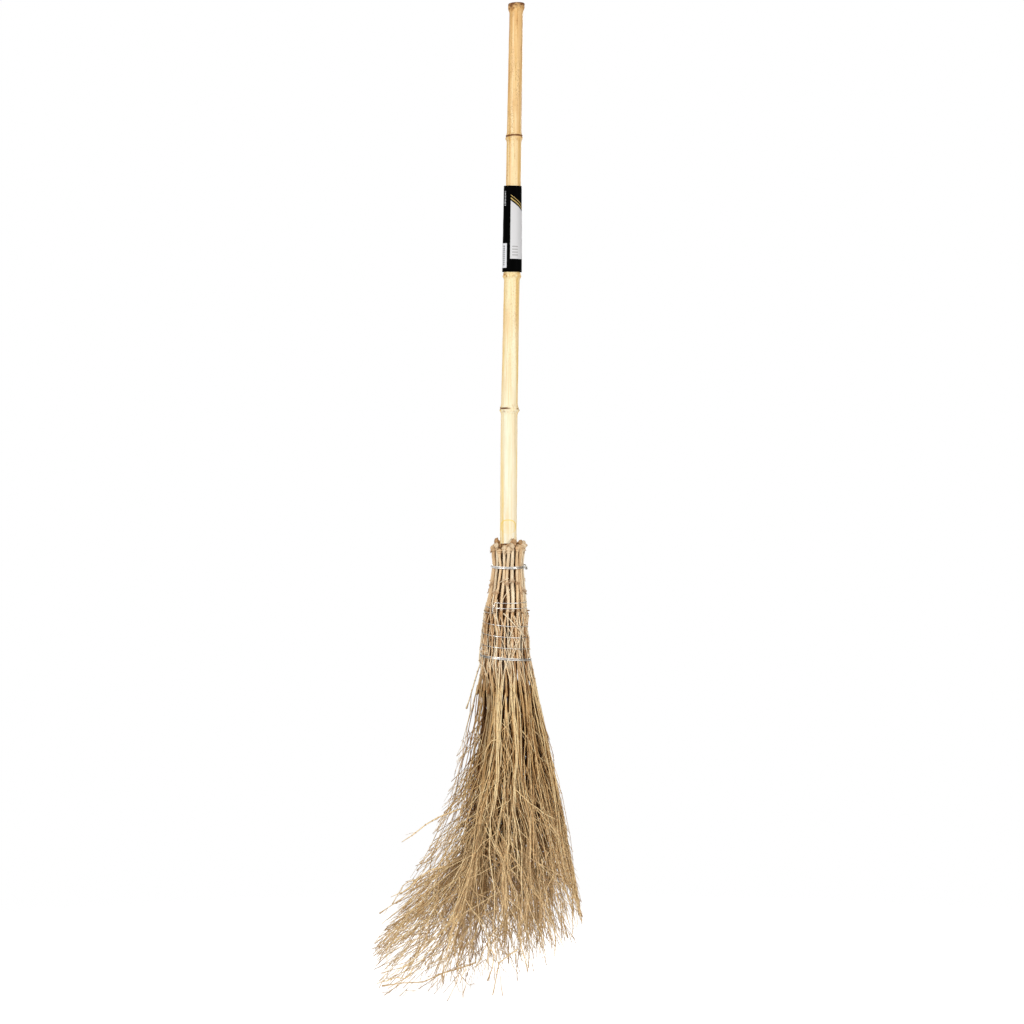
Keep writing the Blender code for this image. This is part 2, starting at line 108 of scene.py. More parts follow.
def node(tree, kind, inputs=None, **settings):
    """One node of a material: its settings, and its inputs' values or sources."""
    made = tree.nodes.new(f"ShaderNode{kind}")
    for name, value in settings.items():
        setattr(made, name, value)
    for name, value in (inputs or {}).items():
        if isinstance(value, bpy.types.NodeSocket):
            link(tree, value, made.inputs[name])
        else:
            made.inputs[name].default_value = value
    return made


def sum_of(tree, operation, first, second=0.0):
    """One step of arithmetic on numbers or on other nodes' results."""
    return node(tree, "Math", {0: first, 1: second}, operation=operation).outputs[0]


def product(tree, first, *others):
    """Numbers or other nodes' results, multiplied together."""
    for other in others:
        first = sum_of(tree, "MULTIPLY", first, other)
    return first


for lamp_name, (power, place) in LAMPS.items():
    lamp_data = bpy.data.lights.new(lamp_name, "AREA")
    lamp_data.shape = "DISK"
    lamp_data.size = LAMP_SIZE
    lamp_data.energy = power
    lamp = bpy.data.objects.new(lamp_name, lamp_data)
    lamp.location = place
    lamp.rotation_euler = (LAMP_AIM - lamp.location).to_track_quat("-Z", "Y").to_euler()
    bpy.context.scene.collection.objects.link(lamp)

room = bpy.data.worlds.new("white_room")
room.use_nodes = True
bpy.context.scene.world = room
ray = node(room.node_tree, "LightPath").outputs
seen = sum_of(room.node_tree, "MAXIMUM", ray["Is Camera Ray"], ray["Is Glossy Ray"])
seen = sum_of(room.node_tree, "MAXIMUM", seen, ray["Is Transmission Ray"])
added = product(room.node_tree, seen, 1.0 - ROOM_LIGHT)
backdrop = room.node_tree.nodes["Background"]
backdrop.inputs["Color"].default_value = (1.0, 1.0, 1.0, 1.0)
strength = sum_of(room.node_tree, "ADD", added, ROOM_LIGHT)
link(room.node_tree, strength, backdrop.inputs["Strength"])

# Floor: a plain pale sheet, flat and unfixed, that lies just under the twigs' tips. It fades into
# the room towards its rim, so that no edge of it is seen.
FLOOR_RADIUS = 1.6
FLOOR_SIDES = 96
FLOOR_FADE_SHARE = 0.3
FLOOR_GAP = 0.0005
FLOOR_LIFT = 0.46


def finish_of(name, colour, roughness, **sockets):
    """A new material with its plain values set on the shader's own sockets."""
    made = bpy.data.materials.new(name)
    made.use_nodes = True
    shader = made.node_tree.nodes["Principled BSDF"]
    shader.inputs["Base Color"].default_value = (*colour, 1.0)
    shader.inputs["Roughness"].default_value = roughness
    for socket, value in sockets.items():
        shader.inputs[socket.replace("_", " ")].default_value = value
    return made, made.node_tree, shader


def link_object(name, mesh, *finishes):
    """Links a finished mesh to the scene as an object at the origin."""
    made = bpy.data.objects.new(name, mesh)
    for finish in finishes:
        mesh.materials.append(finish)
    bpy.context.scene.collection.objects.link(made)
    return made


def mesh_of(name, bm, sharp_degrees=180.0):
    """The finished mesh of a built shape, smooth but for the edges over an angle."""
    bmesh.ops.recalc_face_normals(bm, faces=bm.faces)
    made = bpy.data.meshes.new(name)
    bm.to_mesh(made)
    bm.free()
    made.shade_smooth()
    if sharp_degrees < 180.0:
        made.set_sharp_from_angle(angle=math.radians(sharp_degrees))
    return made


bm = bmesh.new()
bmesh.ops.create_circle(bm, cap_ends=True, segments=FLOOR_SIDES, radius=FLOOR_RADIUS)
bmesh.ops.translate(bm, verts=bm.verts, vec=(0.0, 0.0, cad_low.z - FLOOR_GAP))
floor_mesh = mesh_of("floor", bm)
floor_finish, tree, paint = finish_of("pale_floor", (0.96, 0.96, 0.96), 0.9)
place = node(tree, "TexCoord").outputs["Object"]
level = (1.0 / FLOOR_RADIUS, 1.0 / FLOOR_RADIUS, 0.0)
flat = node(tree, "VectorMath", {0: place, 1: level}, operation="MULTIPLY")
reach = node(tree, "VectorMath", {0: flat.outputs[0]}, operation="LENGTH")
fade = node(
    tree, "MapRange", {"Value": reach.outputs["Value"], "From Min": FLOOR_FADE_SHARE},
    interpolation_type="SMOOTHSTEP",
)
seen = node(tree, "LightPath").outputs["Is Camera Ray"]
lift = node(tree, "Emission", {"Strength": product(tree, seen, FLOOR_LIFT)})
lit = node(tree, "AddShader", {0: paint.outputs[0], 1: lift.outputs[0]})
clear = node(tree, "BsdfTransparent")
rim = node(tree, "MixShader", {0: fade.outputs[0], 1: lit.outputs[0], 2: clear.outputs[0]})
link(tree, rim.outputs[0], tree.nodes["Material Output"].inputs["Surface"])
link_object("floor", floor_mesh, floor_finish)

# Bamboo cane: one whole culm with its skin left on, sawn just over its first node and scorched
# brown there. Each node has the sharp scar of its sheath and a rounder ridge, and a shallow
# groove runs up from it on the side that bore a branch.
CANE_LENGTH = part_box("bamboo_cane")[1].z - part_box("bamboo_cane")[0].z
CANE_TOP_DIAMETER = 0.0200
CANE_BUTT_DIAMETER = 0.0248
CANE_TAPER_SHARE = 0.60
CANE_LEAN = 0.0160
CANE_BOW = 0.0050
CANE_SIDES = 72
INTERNODE_RINGS = 40
NODE_REACH = 0.0085
TOP_NODE_DROP = 0.0085
NODE_PLACE_SHARES = (0.0083, 0.195, 0.396, 0.5915, 0.789, 0.985)
NODE_LEAN_SHARES = (0.0, 0.21, 0.41, 0.66, 0.75, 1.0)
NODE_BOW_SHARES = (0.0, 0.55, 1.0, 0.7, 0.2, 0.0)
NODE_SWELL = 0.0024
# The scorched knob at the top: places along its reach, and heights as parts of its swell.
TOP_KNOB_SHARES = ((-1.0, -0.7, -0.2, 0.0, 0.25, 0.55, 1.0), (0.95, 1.02, 0.96, 1.0, 0.62, 0.14, 0.0))
TOP_SCAR_SHARE = 0.45
TOP_ROUNDING = ((0.0, 0.0026), (0.0005, 0.0013), (0.0014, 0.0004))
TOP_EDGE_DARK = 0.5
NODE_SWELL_SHARES = (0.92, 0.88, 0.98, 0.96, 0.20, 0.80)
# A node's outline: places along its reach, heights as parts of its swell, and how dark it is.
NODE_OUTLINE_SHARES = (
    (-1.0, 0.0, 0.0), (-0.75, 0.10, 0.0), (-0.5, 0.30, 0.05), (-0.36, 0.50, 0.15),
    (-0.26, 0.76, 0.45), (-0.19, 0.80, 0.9), (-0.14, 0.56, 1.0), (-0.05, 0.48, 1.0),
    (0.01, 0.62, 0.8), (0.12, 0.93, 0.30), (0.24, 1.0, 0.12), (0.38, 0.80, 0.06),
    (0.56, 0.44, 0.0), (0.78, 0.15, 0.0), (1.0, 0.0, 0.0),
)
# How dark each node's scar is round the cane, at degrees to the right of the front.
SCAR_DEGREES = (-180, -90, -50, -20, 0, 20, 45, 60, 90, 180)
SCAR_DARK_SHARES = (
    (0.3, 0.6, 0.9, 0.3, 0.1, 0.15, 0.5, 0.7, 0.5, 0.3),
    (0.8, 1.0, 1.0, 0.9, 0.8, 0.85, 0.9, 0.9, 0.8, 0.8),
    (0.3, 0.4, 0.3, 0.0, 0.0, 0.0, 0.0, 0.0, 0.1, 0.3),
    (0.6, 1.0, 1.0, 0.95, 0.6, 0.05, 0.0, 0.7, 0.2, 0.6),
)
# How far each scar tilts, and the side, in degrees from the front, on which it rises.
SCAR_TILTS = ((0.0012, 50.0), (0.0016, 15.0), (0.0008, 0.0), (0.0004, -60.0), (0.0008, 90.0), (0.0, 0.0))
# Stains on the skin: degrees from the front, depth, half width, half height and strength.
STAINS = (
    (-58.0, 0.4082, 0.0028, 0.0010, 1.80), (-37.0, 0.4104, 0.0011, 0.0016, 1.50),
    (12.0, 0.4100, 0.0038, 0.0020, 0.46), (20.0, 0.2055, 0.0026, 0.0030, 0.36),
    (-40.0, 0.2110, 0.0014, 0.0024, 0.55), (8.0, 0.2300, 0.0008, 0.0060, 0.60),
    (-35.0, 0.6130, 0.0034, 0.0022, 0.55), (25.0, 0.6040, 0.0030, 0.0060, 0.30),
    (10.0, 0.0280, 0.0017, 0.0120, 0.62), (60.0, 0.0720, 0.0024, 0.0240, 0.55),
    (70.0, 0.1500, 0.0022, 0.0280, 0.60), (-60.0, 0.1150, 0.0020, 0.0360, 0.55),
    (-72.0, 0.0450, 0.0022, 0.0240, 0.60), (78.0, 0.0300, 0.0020, 0.0200, 0.60),
    (-35.0, 0.0100, 0.0030, 0.0040, 0.90), (50.0, 0.0085, 0.0020, 0.0030, 0.70),
    (-62.0, 0.2560, 0.0022, 0.0160, 0.55), (38.0, 0.4750, 0.0060, 0.0300, 0.30),
    (150.0, 0.3000, 0.0040, 0.0200, 0.50), (-150.0, 0.5200, 0.0050, 0.0260, 0.50),
    (170.0, 0.7000, 0.0060, 0.0200, 0.45), (-120.0, 0.1200, 0.0040, 0.0300, 0.50),
)
GROOVE_DEPTH = 0.0008
GROOVE_DEGREES = 26.0
GROOVE_SIDE_DEGREES = (-55.0, 125.0)
GROOVE_RISE = 0.12
OVAL_SHARE = 0.012
SKIN_WAVE = 0.00022
SKIN_WAVES_PER_METRE = 60.0
CUT_EDGE = 0.0009
CUT_LUMP = 0.0008
CUT_LUMP_REACH = 0.013
CUT_LUMPS_PER_METRE = 260.0
CUT_DARK = 0.92
CUT_LUMP_DARK = 1.3
CUT_DARK_POWER = 1.3
CUT_DISH = 0.0010
CUT_DISH_SHARE = 0.35
# Scorched spots on the knob at the top: degrees from the front, depth, size and strength.
SCORCHES = (
    (-40.0, 0.0046, 0.0038, 1.0), (-60.0, 0.0090, 0.0022, 0.8), (48.0, 0.0034, 0.0026, 0.75),
    (20.0, 0.0016, 0.0016, 0.6), (66.0, 0.0105, 0.0012, 0.8), (150.0, 0.0050, 0.0030, 0.9),
    (-130.0, 0.0070, 0.0024, 0.7), (-18.0, 0.0092, 0.0016, 0.75), (8.0, 0.0060, 0.0013, 0.7),
    (32.0, 0.0082, 0.0014, 0.65),
)
END_CUP_DIAMETER = 0.0120
END_CUP_DEPTH = 0.0110
# Stubs of branches trimmed off at the nodes: which node, the angle from +X, and the size.
BRANCH_STUBS = ((1, -30.0, 0.0020), (3, -5.0, 0.0022), (2, 60.0, 0.0024), (0, 140.0, 0.0024))
STUB_HEIGHT = 0.0009
SHARP_DEGREES = 40.0


def between(value, places, amounts):
    """The amount at a value that lies between listed places, on straight lines."""
    for low, high, first, second in zip(places, places[1:], amounts, amounts[1:]):
        if value <= high:
            return first + (second - first) * (value - low) / (high - low)
    return amounts[-1]


node_drops = [TOP_NODE_DROP] + [CANE_LENGTH * share for share in NODE_PLACE_SHARES[1:]]
scorches = [(degrees, depth, size, size, strength) for degrees, depth, size, strength in SCORCHES]


def axis_at(z):
    """A point on the cane's and the head's common axis."""
    places = [0.0, *node_drops]
    lean = between(-z, places, [0.0, *NODE_LEAN_SHARES])
    bow = between(-z, places, [0.0, *NODE_BOW_SHARES])
    return Vector((-CANE_LEAN * lean, CANE_BOW * bow, z))


def spoke(angle):
    """The level direction at an angle round the axis, from +X towards +Y."""
    return Vector((math.cos(angle), math.sin(angle), 0.0))


def stalk_radius(depth):
    """The cane's radius between its nodes."""
    taper = min(depth / (CANE_LENGTH * CANE_TAPER_SHARE), 1.0)
    return (CANE_TOP_DIAMETER + (CANE_BUTT_DIAMETER - CANE_TOP_DIAMETER) * taper) / 2


def hump(distance, width):
    """A soft bump: 1 in its middle and 0 well outside its width."""
    return math.exp(-((distance / width) ** 2))


def turned(first, second):
    """The shortest turn from one angle to another."""
    return math.remainder(second - first, 2 * math.pi)


def cane_rings():
    """Each ring of the skin, down the cane: its depth, its radius and the dark of its scar."""
    rings = []
    for order, (depth, share) in enumerate(zip(node_drops, NODE_SWELL_SHARES)):
        if order:
            start, stop = node_drops[order - 1] + NODE_REACH, depth - NODE_REACH
            for step in range(1, INTERNODE_RINGS):
                way = step / INTERNODE_RINGS
                radius = stalk_radius(node_drops[order - 1]) * (1 - way) + stalk_radius(depth) * way
                rings.append((start + (stop - start) * way, radius, 0.0, order))
        for along, height, dark in NODE_OUTLINE_SHARES:
            place = depth + NODE_REACH * along
            if order == 0:
                height = between(along, *TOP_KNOB_SHARES)
                dark *= TOP_SCAR_SHARE
            if CUT_EDGE < place < CANE_LENGTH - CUT_EDGE:
                radius = stalk_radius(depth) + NODE_SWELL * share * height
                rings.append((place, radius, dark, order))
    top, foot = rings[0], rings[-1]
    edge = [(place, top[1] - less, TOP_EDGE_DARK, 0) for place, less in TOP_ROUNDING if place < top[0]]
    return [*edge, *rings, (CANE_LENGTH, foot[1] - CUT_EDGE, 0.0, foot[3])]


def cane_point(angle, depth, radius, dark, order):
    """Where a spot of the cane's skin lies, and how dark its scar is there."""
    front = turned(-math.pi / 2, angle)
    if order < len(SCAR_DARK_SHARES):
        dark *= between(math.degrees(front), SCAR_DEGREES, SCAR_DARK_SHARES[order])
    node_depth = node_drops[order]
    rise = node_depth - NODE_REACH - depth
    if 0 < rise < GROOVE_RISE:
        side = math.radians(GROOVE_SIDE_DEGREES[order % 2])
        across = hump(turned(side, angle), math.radians(GROOVE_DEGREES))
        radius -= GROOVE_DEPTH * across * (1 - rise / GROOVE_RISE) * min(1.0, rise / NODE_REACH)
    radius *= 1 + OVAL_SHARE * math.cos(2 * angle)
    tilt, side = SCAR_TILTS[order]
    slant = tilt * math.cos(front - math.radians(side)) * hump(depth - node_depth, NODE_REACH)
    for where, degrees, size in BRANCH_STUBS:
        if where == order:
            aside = turned(math.radians(degrees), angle) * radius
            lump = hump(math.hypot(aside, depth - node_depth - size / 2), size)
            radius += STUB_HEIGHT * lump
            dark = max(dark, lump * lump)
    spot = axis_at(-depth) + spoke(angle) * radius
    wave = noise.noise(spot * SKIN_WAVES_PER_METRE) * SKIN_WAVE
    if depth < CUT_LUMP_REACH:
        fade = 1 - depth / CUT_LUMP_REACH
        lumps = noise.noise(spot * CUT_LUMPS_PER_METRE) * CUT_LUMP
        wave += lumps * fade
        dark = max(dark, (CUT_DARK + CUT_LUMP_DARK * lumps / CUT_LUMP) * fade**CUT_DARK_POWER)
        dark = max(dark, stain_at(scorches, angle, depth, radius))
    return spot + spoke(angle) * wave + Vector((0.0, 0.0, slant)), dark


def stain_at(stains, angle, depth, radius):
    """How strongly the listed stains show at a spot of the skin."""
    total = 0.0
    for degrees, stain_depth, half_width, half_height, strength in stains:
        aside = turned(math.radians(degrees) - math.pi / 2, angle) * radius / half_width
        total = max(total, strength * hump(math.hypot(aside, (depth - stain_depth) / half_height), 1.0))
    return total


rings = cane_rings()
bm = bmesh.new()
bmesh.ops.create_grid(bm, x_segments=CANE_SIDES, y_segments=len(rings) - 1, size=0.5)
scar = bm.verts.layers.float.new("scar")
painted_front_light = bm.verts.layers.float.new("painted_front_light")
stain = bm.verts.layers.float.new("stain")
for vert in bm.verts:
    angle = 2 * math.pi * (vert.co.x + 0.5) + math.pi / 2
    ring = rings[round((0.5 - vert.co.y) * (len(rings) - 1))]
    # Painted highlight: the cane's front is painted paler than its sides, which stay more golden.
    vert[painted_front_light] = 0.5 - 0.5 * math.sin(angle)
    vert[stain] = stain_at(STAINS, angle, *ring[:2])
    vert.co, vert[scar] = cane_point(angle, *ring)
bmesh.ops.remove_doubles(bm, verts=bm.verts, dist=CUT_EDGE / 100)
bmesh.ops.recalc_face_normals(bm, faces=bm.faces)
open_edges = [edge for edge in bm.edges if edge.is_boundary]
for inset_to, sink, at_top in ((None, -CUT_DISH, True), (END_CUP_DIAMETER / 2, -END_CUP_DEPTH, False)):
    loop = [edge for edge in open_edges if (edge.verts[0].co.z > cad_low.z / 3) == at_top]
    end = bmesh.ops.edgeloop_fill(bm, edges=loop, mat_nr=1)["faces"][0]
    radius = (end.verts[0].co - end.calc_center_median()).length
    width = radius - inset_to if inset_to else radius * CUT_DISH_SHARE
    bmesh.ops.inset_individual(bm, faces=[end], thickness=width, depth=0.0)
    bmesh.ops.inset_individual(bm, faces=[end], thickness=CUT_EDGE, depth=sink)
cane_mesh = mesh_of("cane_culm", bm, SHARP_DEGREES)


def attribute(tree, name):
    """A value that a mesh carries on its points."""
    return node(tree, "Attribute", attribute_name=name).outputs["Fac"]


def ramp(tree, value, *stops):
    """Colours or numbers along a value, from (place, colour) stops."""
    made = node(tree, "ValToRGB", {0: value})
    scale = made.color_ramp.elements
    while len(scale) < len(stops):
        scale.new(0.5)
    for element, (place, colour) in zip(scale, stops):
        element.position = place
        element.color = (*colour, 1.0) if isinstance(colour, tuple) else (colour,) * 3 + (1.0,)
    return made.outputs[0]


def mixed(tree, blend, share, first, second):
    """Two colours mixed in one of Blender's ways."""
    made = node(tree, "Mix", data_type="RGBA", blend_type=blend)
    for socket, value in zip((0, 6, 7), (share, first, second)):
        if isinstance(value, bpy.types.NodeSocket):
            link(tree, value, made.inputs[socket])
        else:
            made.inputs[socket].default_value = (*value, 1.0) if isinstance(value, tuple) else value
    return made.outputs[2]


def axes_of(tree):
    """The piece's own coordinates, one by one."""
    return node(tree, "SeparateXYZ", {0: node(tree, "TexCoord").outputs["Object"]}).outputs


def down_share(tree, top, foot):
    """How far down between two heights a spot lies, from 0 to 1."""
    inputs = {"Value": axes_of(tree)["Z"], "From Min": top, "From Max": foot}
    return node(tree, "MapRange", inputs).outputs[0]


def grain(tree, scale, detail=3.0, roughness=0.6):
    """A noise over the piece's own coordinates, stretched by a scale for each axis."""
    place = node(tree, "TexCoord").outputs["Object"]
    spread = node(tree, "Mapping", {"Vector": place, "Scale": scale}).outputs[0]
    inputs = {"Vector": spread, "Scale": 1.0, "Detail": detail, "Roughness": roughness}
    return node(tree, "TexNoise", inputs).outputs["Fac"]


def bumped(tree, shader, height, distance, strength=1.0):
    """Small relief on a shader."""
    made = node(tree, "Bump", {"Height": height, "Strength": strength, "Distance": distance})
    link(tree, made.outputs[0], shader.inputs["Normal"])


bamboo, tree, paint = finish_of("bamboo_skin", (0.86, 0.66, 0.36), 0.42, Specular_IOR_Level=0.22)
down = down_share(tree, 0.0, -CANE_LENGTH)
golden = ramp(
    tree, down, (0.0, (0.66, 0.36, 0.10)), (0.18, (0.80, 0.49, 0.16)), (0.30, (0.88, 0.59, 0.21)),
    (0.46, (0.91, 0.63, 0.23)), (0.60, (0.97, 0.70, 0.25)), (0.78, (1.0, 0.74, 0.28)),
)
cream = ramp(
    tree, down, (0.0, (0.92, 0.61, 0.28)), (0.12, (0.95, 0.70, 0.37)), (0.20, (0.96, 0.77, 0.46)),
    (0.40, (0.98, 0.84, 0.52)), (0.60, (1.0, 0.95, 0.72)), (0.78, (1.0, 0.97, 0.80)),
)
tan = ramp(
    tree, down, (0.0, (0.74, 0.47, 0.19)), (0.20, (0.90, 0.62, 0.31)), (0.45, (0.96, 0.73, 0.42)),
    (0.60, (0.97, 0.83, 0.56)), (0.78, (0.98, 0.88, 0.66)),
)
bands = grain(tree, (170.0, 170.0, 2.4), 3.0)
# Painted highlight: cream where the front is painted pale, golden towards the sides, with streaky bands.
front = sum_of(tree, "ADD", attribute(tree, "painted_front_light"), product(tree, bands, 1.5))
front = ramp(tree, sum_of(tree, "SUBTRACT", front, 0.75), (0.64, 0.0), (0.92, 1.0))
base = mixed(tree, "MIX", front, golden, cream)
patches = ramp(tree, grain(tree, (75.0, 75.0, 11.0), 4.0), (0.48, 0.0), (0.60, 0.8))
base = mixed(tree, "MIX", patches, base, tan)
fibres = grain(tree, (620.0, 620.0, 7.0), 3.0)
base = mixed(tree, "MULTIPLY", 0.7, base, ramp(tree, fibres, (0.38, (0.85, 0.74, 0.56)), (0.56, 1.0)))
streaks = ramp(tree, grain(tree, (290.0, 290.0, 16.0), 2.0), (0.40, (0.80, 0.60, 0.34)), (0.55, 1.0))
base = mixed(tree, "MULTIPLY", ramp(tree, down, (0.0, 0.42), (0.25, 0.22), (0.8, 0.05)), base, streaks)
specks = grain(tree, (620.0, 620.0, 380.0), 2.0)
speck_patches = ramp(tree, grain(tree, (90.0, 90.0, 16.0), 2.0), (0.42, 0.15), (0.58, 1.0))
speck_down = ramp(tree, down, (0.0, 1.0), (0.17, 0.9), (0.30, 0.40), (0.45, 0.35), (0.6, 0.10))
speck = product(tree, ramp(tree, specks, (0.50, 0.0), (0.62, 1.0)), speck_patches, speck_down, 0.75)
base = mixed(tree, "MIX", speck, base, (0.44, 0.25, 0.08))
stained = product(tree, attribute(tree, "stain"), ramp(tree, specks, (0.30, 0.5), (0.6, 1.0)))
base = mixed(tree, "MIX", ramp(tree, stained, (0.14, 0.0), (0.62, 0.95)), base, (0.48, 0.23, 0.07))
broken = ramp(tree, grain(tree, (420.0, 420.0, 260.0), 3.0), (0.28, 0.55), (0.55, 1.0))
scarred = product(tree, attribute(tree, "scar"), broken)
base = mixed(tree, "MIX", ramp(tree, scarred, (0.15, 0.0), (0.70, 1.0)), base, (0.19, 0.075, 0.025))
# The gum of an old sticker, just over the twigs: a faint yellow ring that is broken at its foot.
GUM_CENTRE = (-0.0120, -0.7853)
GUM_HALF_SIZES = (0.0120, 0.0109)
GUM_POWER = 2.6
spot = axes_of(tree)
offsets = [
    sum_of(tree, "DIVIDE", sum_of(tree, "SUBTRACT", spot[axis], middle), half)
    for axis, middle, half in zip("XZ", GUM_CENTRE, GUM_HALF_SIZES)
]
squares = [sum_of(tree, "POWER", sum_of(tree, "ABSOLUTE", offset), GUM_POWER) for offset in offsets]
reach = sum_of(tree, "SQRT", sum_of(tree, "ADD", *squares))
gum = ramp(tree, reach, (0.0, 0.14), (0.74, 0.18), (0.84, 0.9), (0.91, 0.9), (1.0, 0.0))
above = product(tree, sum_of(tree, "ADD", offsets[1], 1.0), 0.5)
above = ramp(tree, above, (0.0, 0.1), (0.42, 1.0))
gum = product(tree, gum, above, sum_of(tree, "LESS_THAN", spot["Y"], 0.0))
base = mixed(tree, "MIX", gum, base, (0.94, 0.66, 0.16))
link(tree, base, paint.inputs["Base Color"])
link(tree, ramp(tree, scarred, (0.0, 0.40), (0.6, 0.8)), paint.inputs["Roughness"])
bumped(tree, paint, sum_of(tree, "ADD", fibres, product(tree, specks, 0.4)), 0.00018)

cut_bamboo, tree, paint = finish_of("cut_bamboo", (0.42, 0.27, 0.13), 0.85)
pores = grain(tree, (1500.0, 1500.0, 200.0), 2.0)
pith = ramp(tree, pores, (0.35, (0.16, 0.09, 0.04)), (0.55, (0.46, 0.31, 0.16)), (0.7, (0.66, 0.50, 0.30)))
link(tree, pith, paint.inputs["Base Color"])
bumped(tree, paint, pores, 0.0003)

cane = link_object("cane_culm", cane_mesh, bamboo, cut_bamboo)
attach(cane, "broom")
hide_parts("bamboo_cane")

# Inner twigs: whole dried branch tops laid round the cane, butts up, and held by nothing but the
# wires. Each has a knobbed butt, a jointed stem that forks, and shoots that fork again, down to
# hair-thin ends. The shoots follow the head's shape, which sweeps over to the left at its foot.
HEAD_LENGTH = 0.684
CANE_IN_HEAD = 0.224
HEAD_TOP = CANE_IN_HEAD - CANE_LENGTH
TWIG_DIAMETER = 0.0050
FIT_GAP = 0.0004
INNER_TWIGS = 18
OUTER_TWIGS = 22
OUTER_TOP_FLARE = 0.0032
INNER_TOP_FLARE = 0.0014
OUTER_GROWTH = 0.0145
INNER_GROWTH = 0.0105
OUTER_BUTT_DROP = 0.0035
BUTT_STAGGER = 0.0065
BUTT_HEIGHT = 0.0100
UPPER_WIRE_DROP = 0.0360
KNUCKLE_DROP = 0.052
KNUCKLE_STAGGER = 0.026
FORK_DROP = 0.107
FORK_STAGGER = 0.004
FAN_DROP = 0.184
STRAND_DROP = 0.214
STRAND_STAGGER = 0.012
FAN_SPREAD = 0.026
FAN_SPREAD_POWER = 2.6
FAN_RIGHT = 0.073
FAN_DEPTH = 0.050
FAN_POWER = 1.3
FAN_SWEEP = 0.185
FAN_SWEEP_POWER = 2.3
FAN_RAGGED_SHARES = (-0.055, 0.035)
STRAND_WAVER_DEGREES = 1.8
TIP_ACROSS_SHARES = (-1.0, -0.8, -0.6, -0.4, -0.2, 0.4, 0.8, 1.0)
TIP_DOWN_SHARES = (0.94, 0.985, 0.995, 0.985, 0.935, 0.875, 0.80, 0.68)
OUTER_STRAND_SHARES = {"out": 1.00, "in": 0.73, "side": 0.87}
INNER_STRAND_SHARES = {"out": 0.59, "in": 0.25, "side": 0.42}
SIDE_SECTOR_SHARE = 0.26
INNER_STAGGER_SHARE = 0.07
SEED = 11
# How thick each kind of shoot is, from its start to its tip, and how far apart its joints are.
STEM_RADIUS = 0.0026
BRANCH = {"radii": (0.0015, 0.0009), "joint_gap": 0.022, "zigzag": 0.0020, "swell": 1.5}
STRAND = {"radii": (0.00086, 0.00034), "joint_gap": 0.034, "zigzag": 0.0034, "swell": 1.4}
SHOOT = {"radii": (0.00060, 0.00026), "joint_gap": 0.017, "zigzag": 0.0023, "swell": 1.4}
HAIR = {"radii": (0.00040, 0.00022), "joint_gap": 0.009, "zigzag": 0.0008, "swell": 1.0}
STUB = {"radii": (0.0012, 0.0008), "joint_gap": 0.0022, "zigzag": 0.0003, "swell": 1.2}
JOINT_HALF_SHARE = 1.5
JOINT_SCATTER = 0.3
TIP_BUD_CHANCE = 0.35
TIP_BUD_SWELL = 2.2
TIP_SWELL = 0.7
# How dark a shoot's joints, a hair's bends, a bud, a bare tip and the very end of a shoot are.
JOINT_DARK, HAIR_DARK, BUD_DARK, TIP_DARK, END_DARK = 1.0, 0.5, 0.8, 0.2, 0.6
# The knob on a butt: places down its height, and radii as parts of the knob's own.
KNOB_SHARES = (
    (0.0, 0.30), (0.06, 0.62), (0.15, 0.86), (0.27, 1.0), (0.40, 1.0), (0.52, 0.82), (0.62, 0.62),
    (0.69, 0.58), (0.76, 0.76), (0.83, 0.74), (0.90, 0.58), (1.0, 0.56),
)
# The knuckle on a stem: places along its reach, radii as parts of the stem's, and how dark it is.
KNUCKLE_SHARES = (
    (-1.0, 0.96, 0.0), (-0.4, 1.06, 0.3), (0.0, 1.60, 0.9), (0.4, 1.42, 1.4), (0.7, 1.06, 0.9),
    (1.0, 0.94, 0.1),
)
KNUCKLE_REACH = 0.0050
KNOB_RADIUS = 0.0044
KNOB_SIZES = (0.76, 1.26)
INNER_KNOB_SIZE = 0.85
KNOB_HEIGHT_SIZES = (0.8, 1.25)
KNOB_CAP = 0.0006
KNOB_DARK = 0.4
KNOB_DARK_FADE = 0.3
KNOB_LUMP = 0.0024
KNOB_LUMP_DROP = 0.018
KNOB_LUMPS_PER_METRE = 230.0
KNOB_LEAN = 0.0016
# How much higher the butts stand at the back than at the front, and how unevenly.
BUTT_RISE = 0.0022
BUTT_STEP = 0.0056
BUTT_SCATTER = 0.0020
# How thick each stem is, and how unevenly so over its knuckle and under it.
STEM_SIZES = (0.86, 1.14)
STEM_TOP_DROPS = (0.022, 0.030, UPPER_WIRE_DROP, 0.044)
STEM_TOP_SIZES = (0.88, 0.99)
STEM_FOOT_PLACES = (0.3, 0.55, 0.8)
STEM_FOOT_SIZES = (0.94, 1.10)
# A stem's end at its fork: places past it, radii as parts of the stem's, and how dark it is.
FORK_SHARES = ((0.0, 1.12, 0.6), (0.004, 0.0, 0.2))
BRANCH_RISE = 0.004
BRANCH_OVERRUN = 0.012
BRANCH_TURN_RUN = 0.02
# Tints are random; the inner twigs' range is lower, as painted shade between the outer ones.
OUTER_TINTS = (0.35, 1.0)
INNER_SHADED_TINTS = (0.05, 0.6)
# Branches are painted darker by TINT_SHIFT, as shade under the neck shoots; side shoots are lighter by it.
TINT_SHIFT = 0.15
# How much of the painted shade between the twigs reaches the knobs, which stand out above them.
KNOB_SHADE_SHARES = ((-0.02, 0.011, 0.020, 0.060, 0.100, 1.0), (0.22, 0.30, 0.92, 0.80, 0.92, 1.0))
# Painted shade on stout wood facing its neighbours: the first number, less the second where it faces out.
SIDE_SHADE = 0.9
SIDE_SHADE_FADE = 1.15
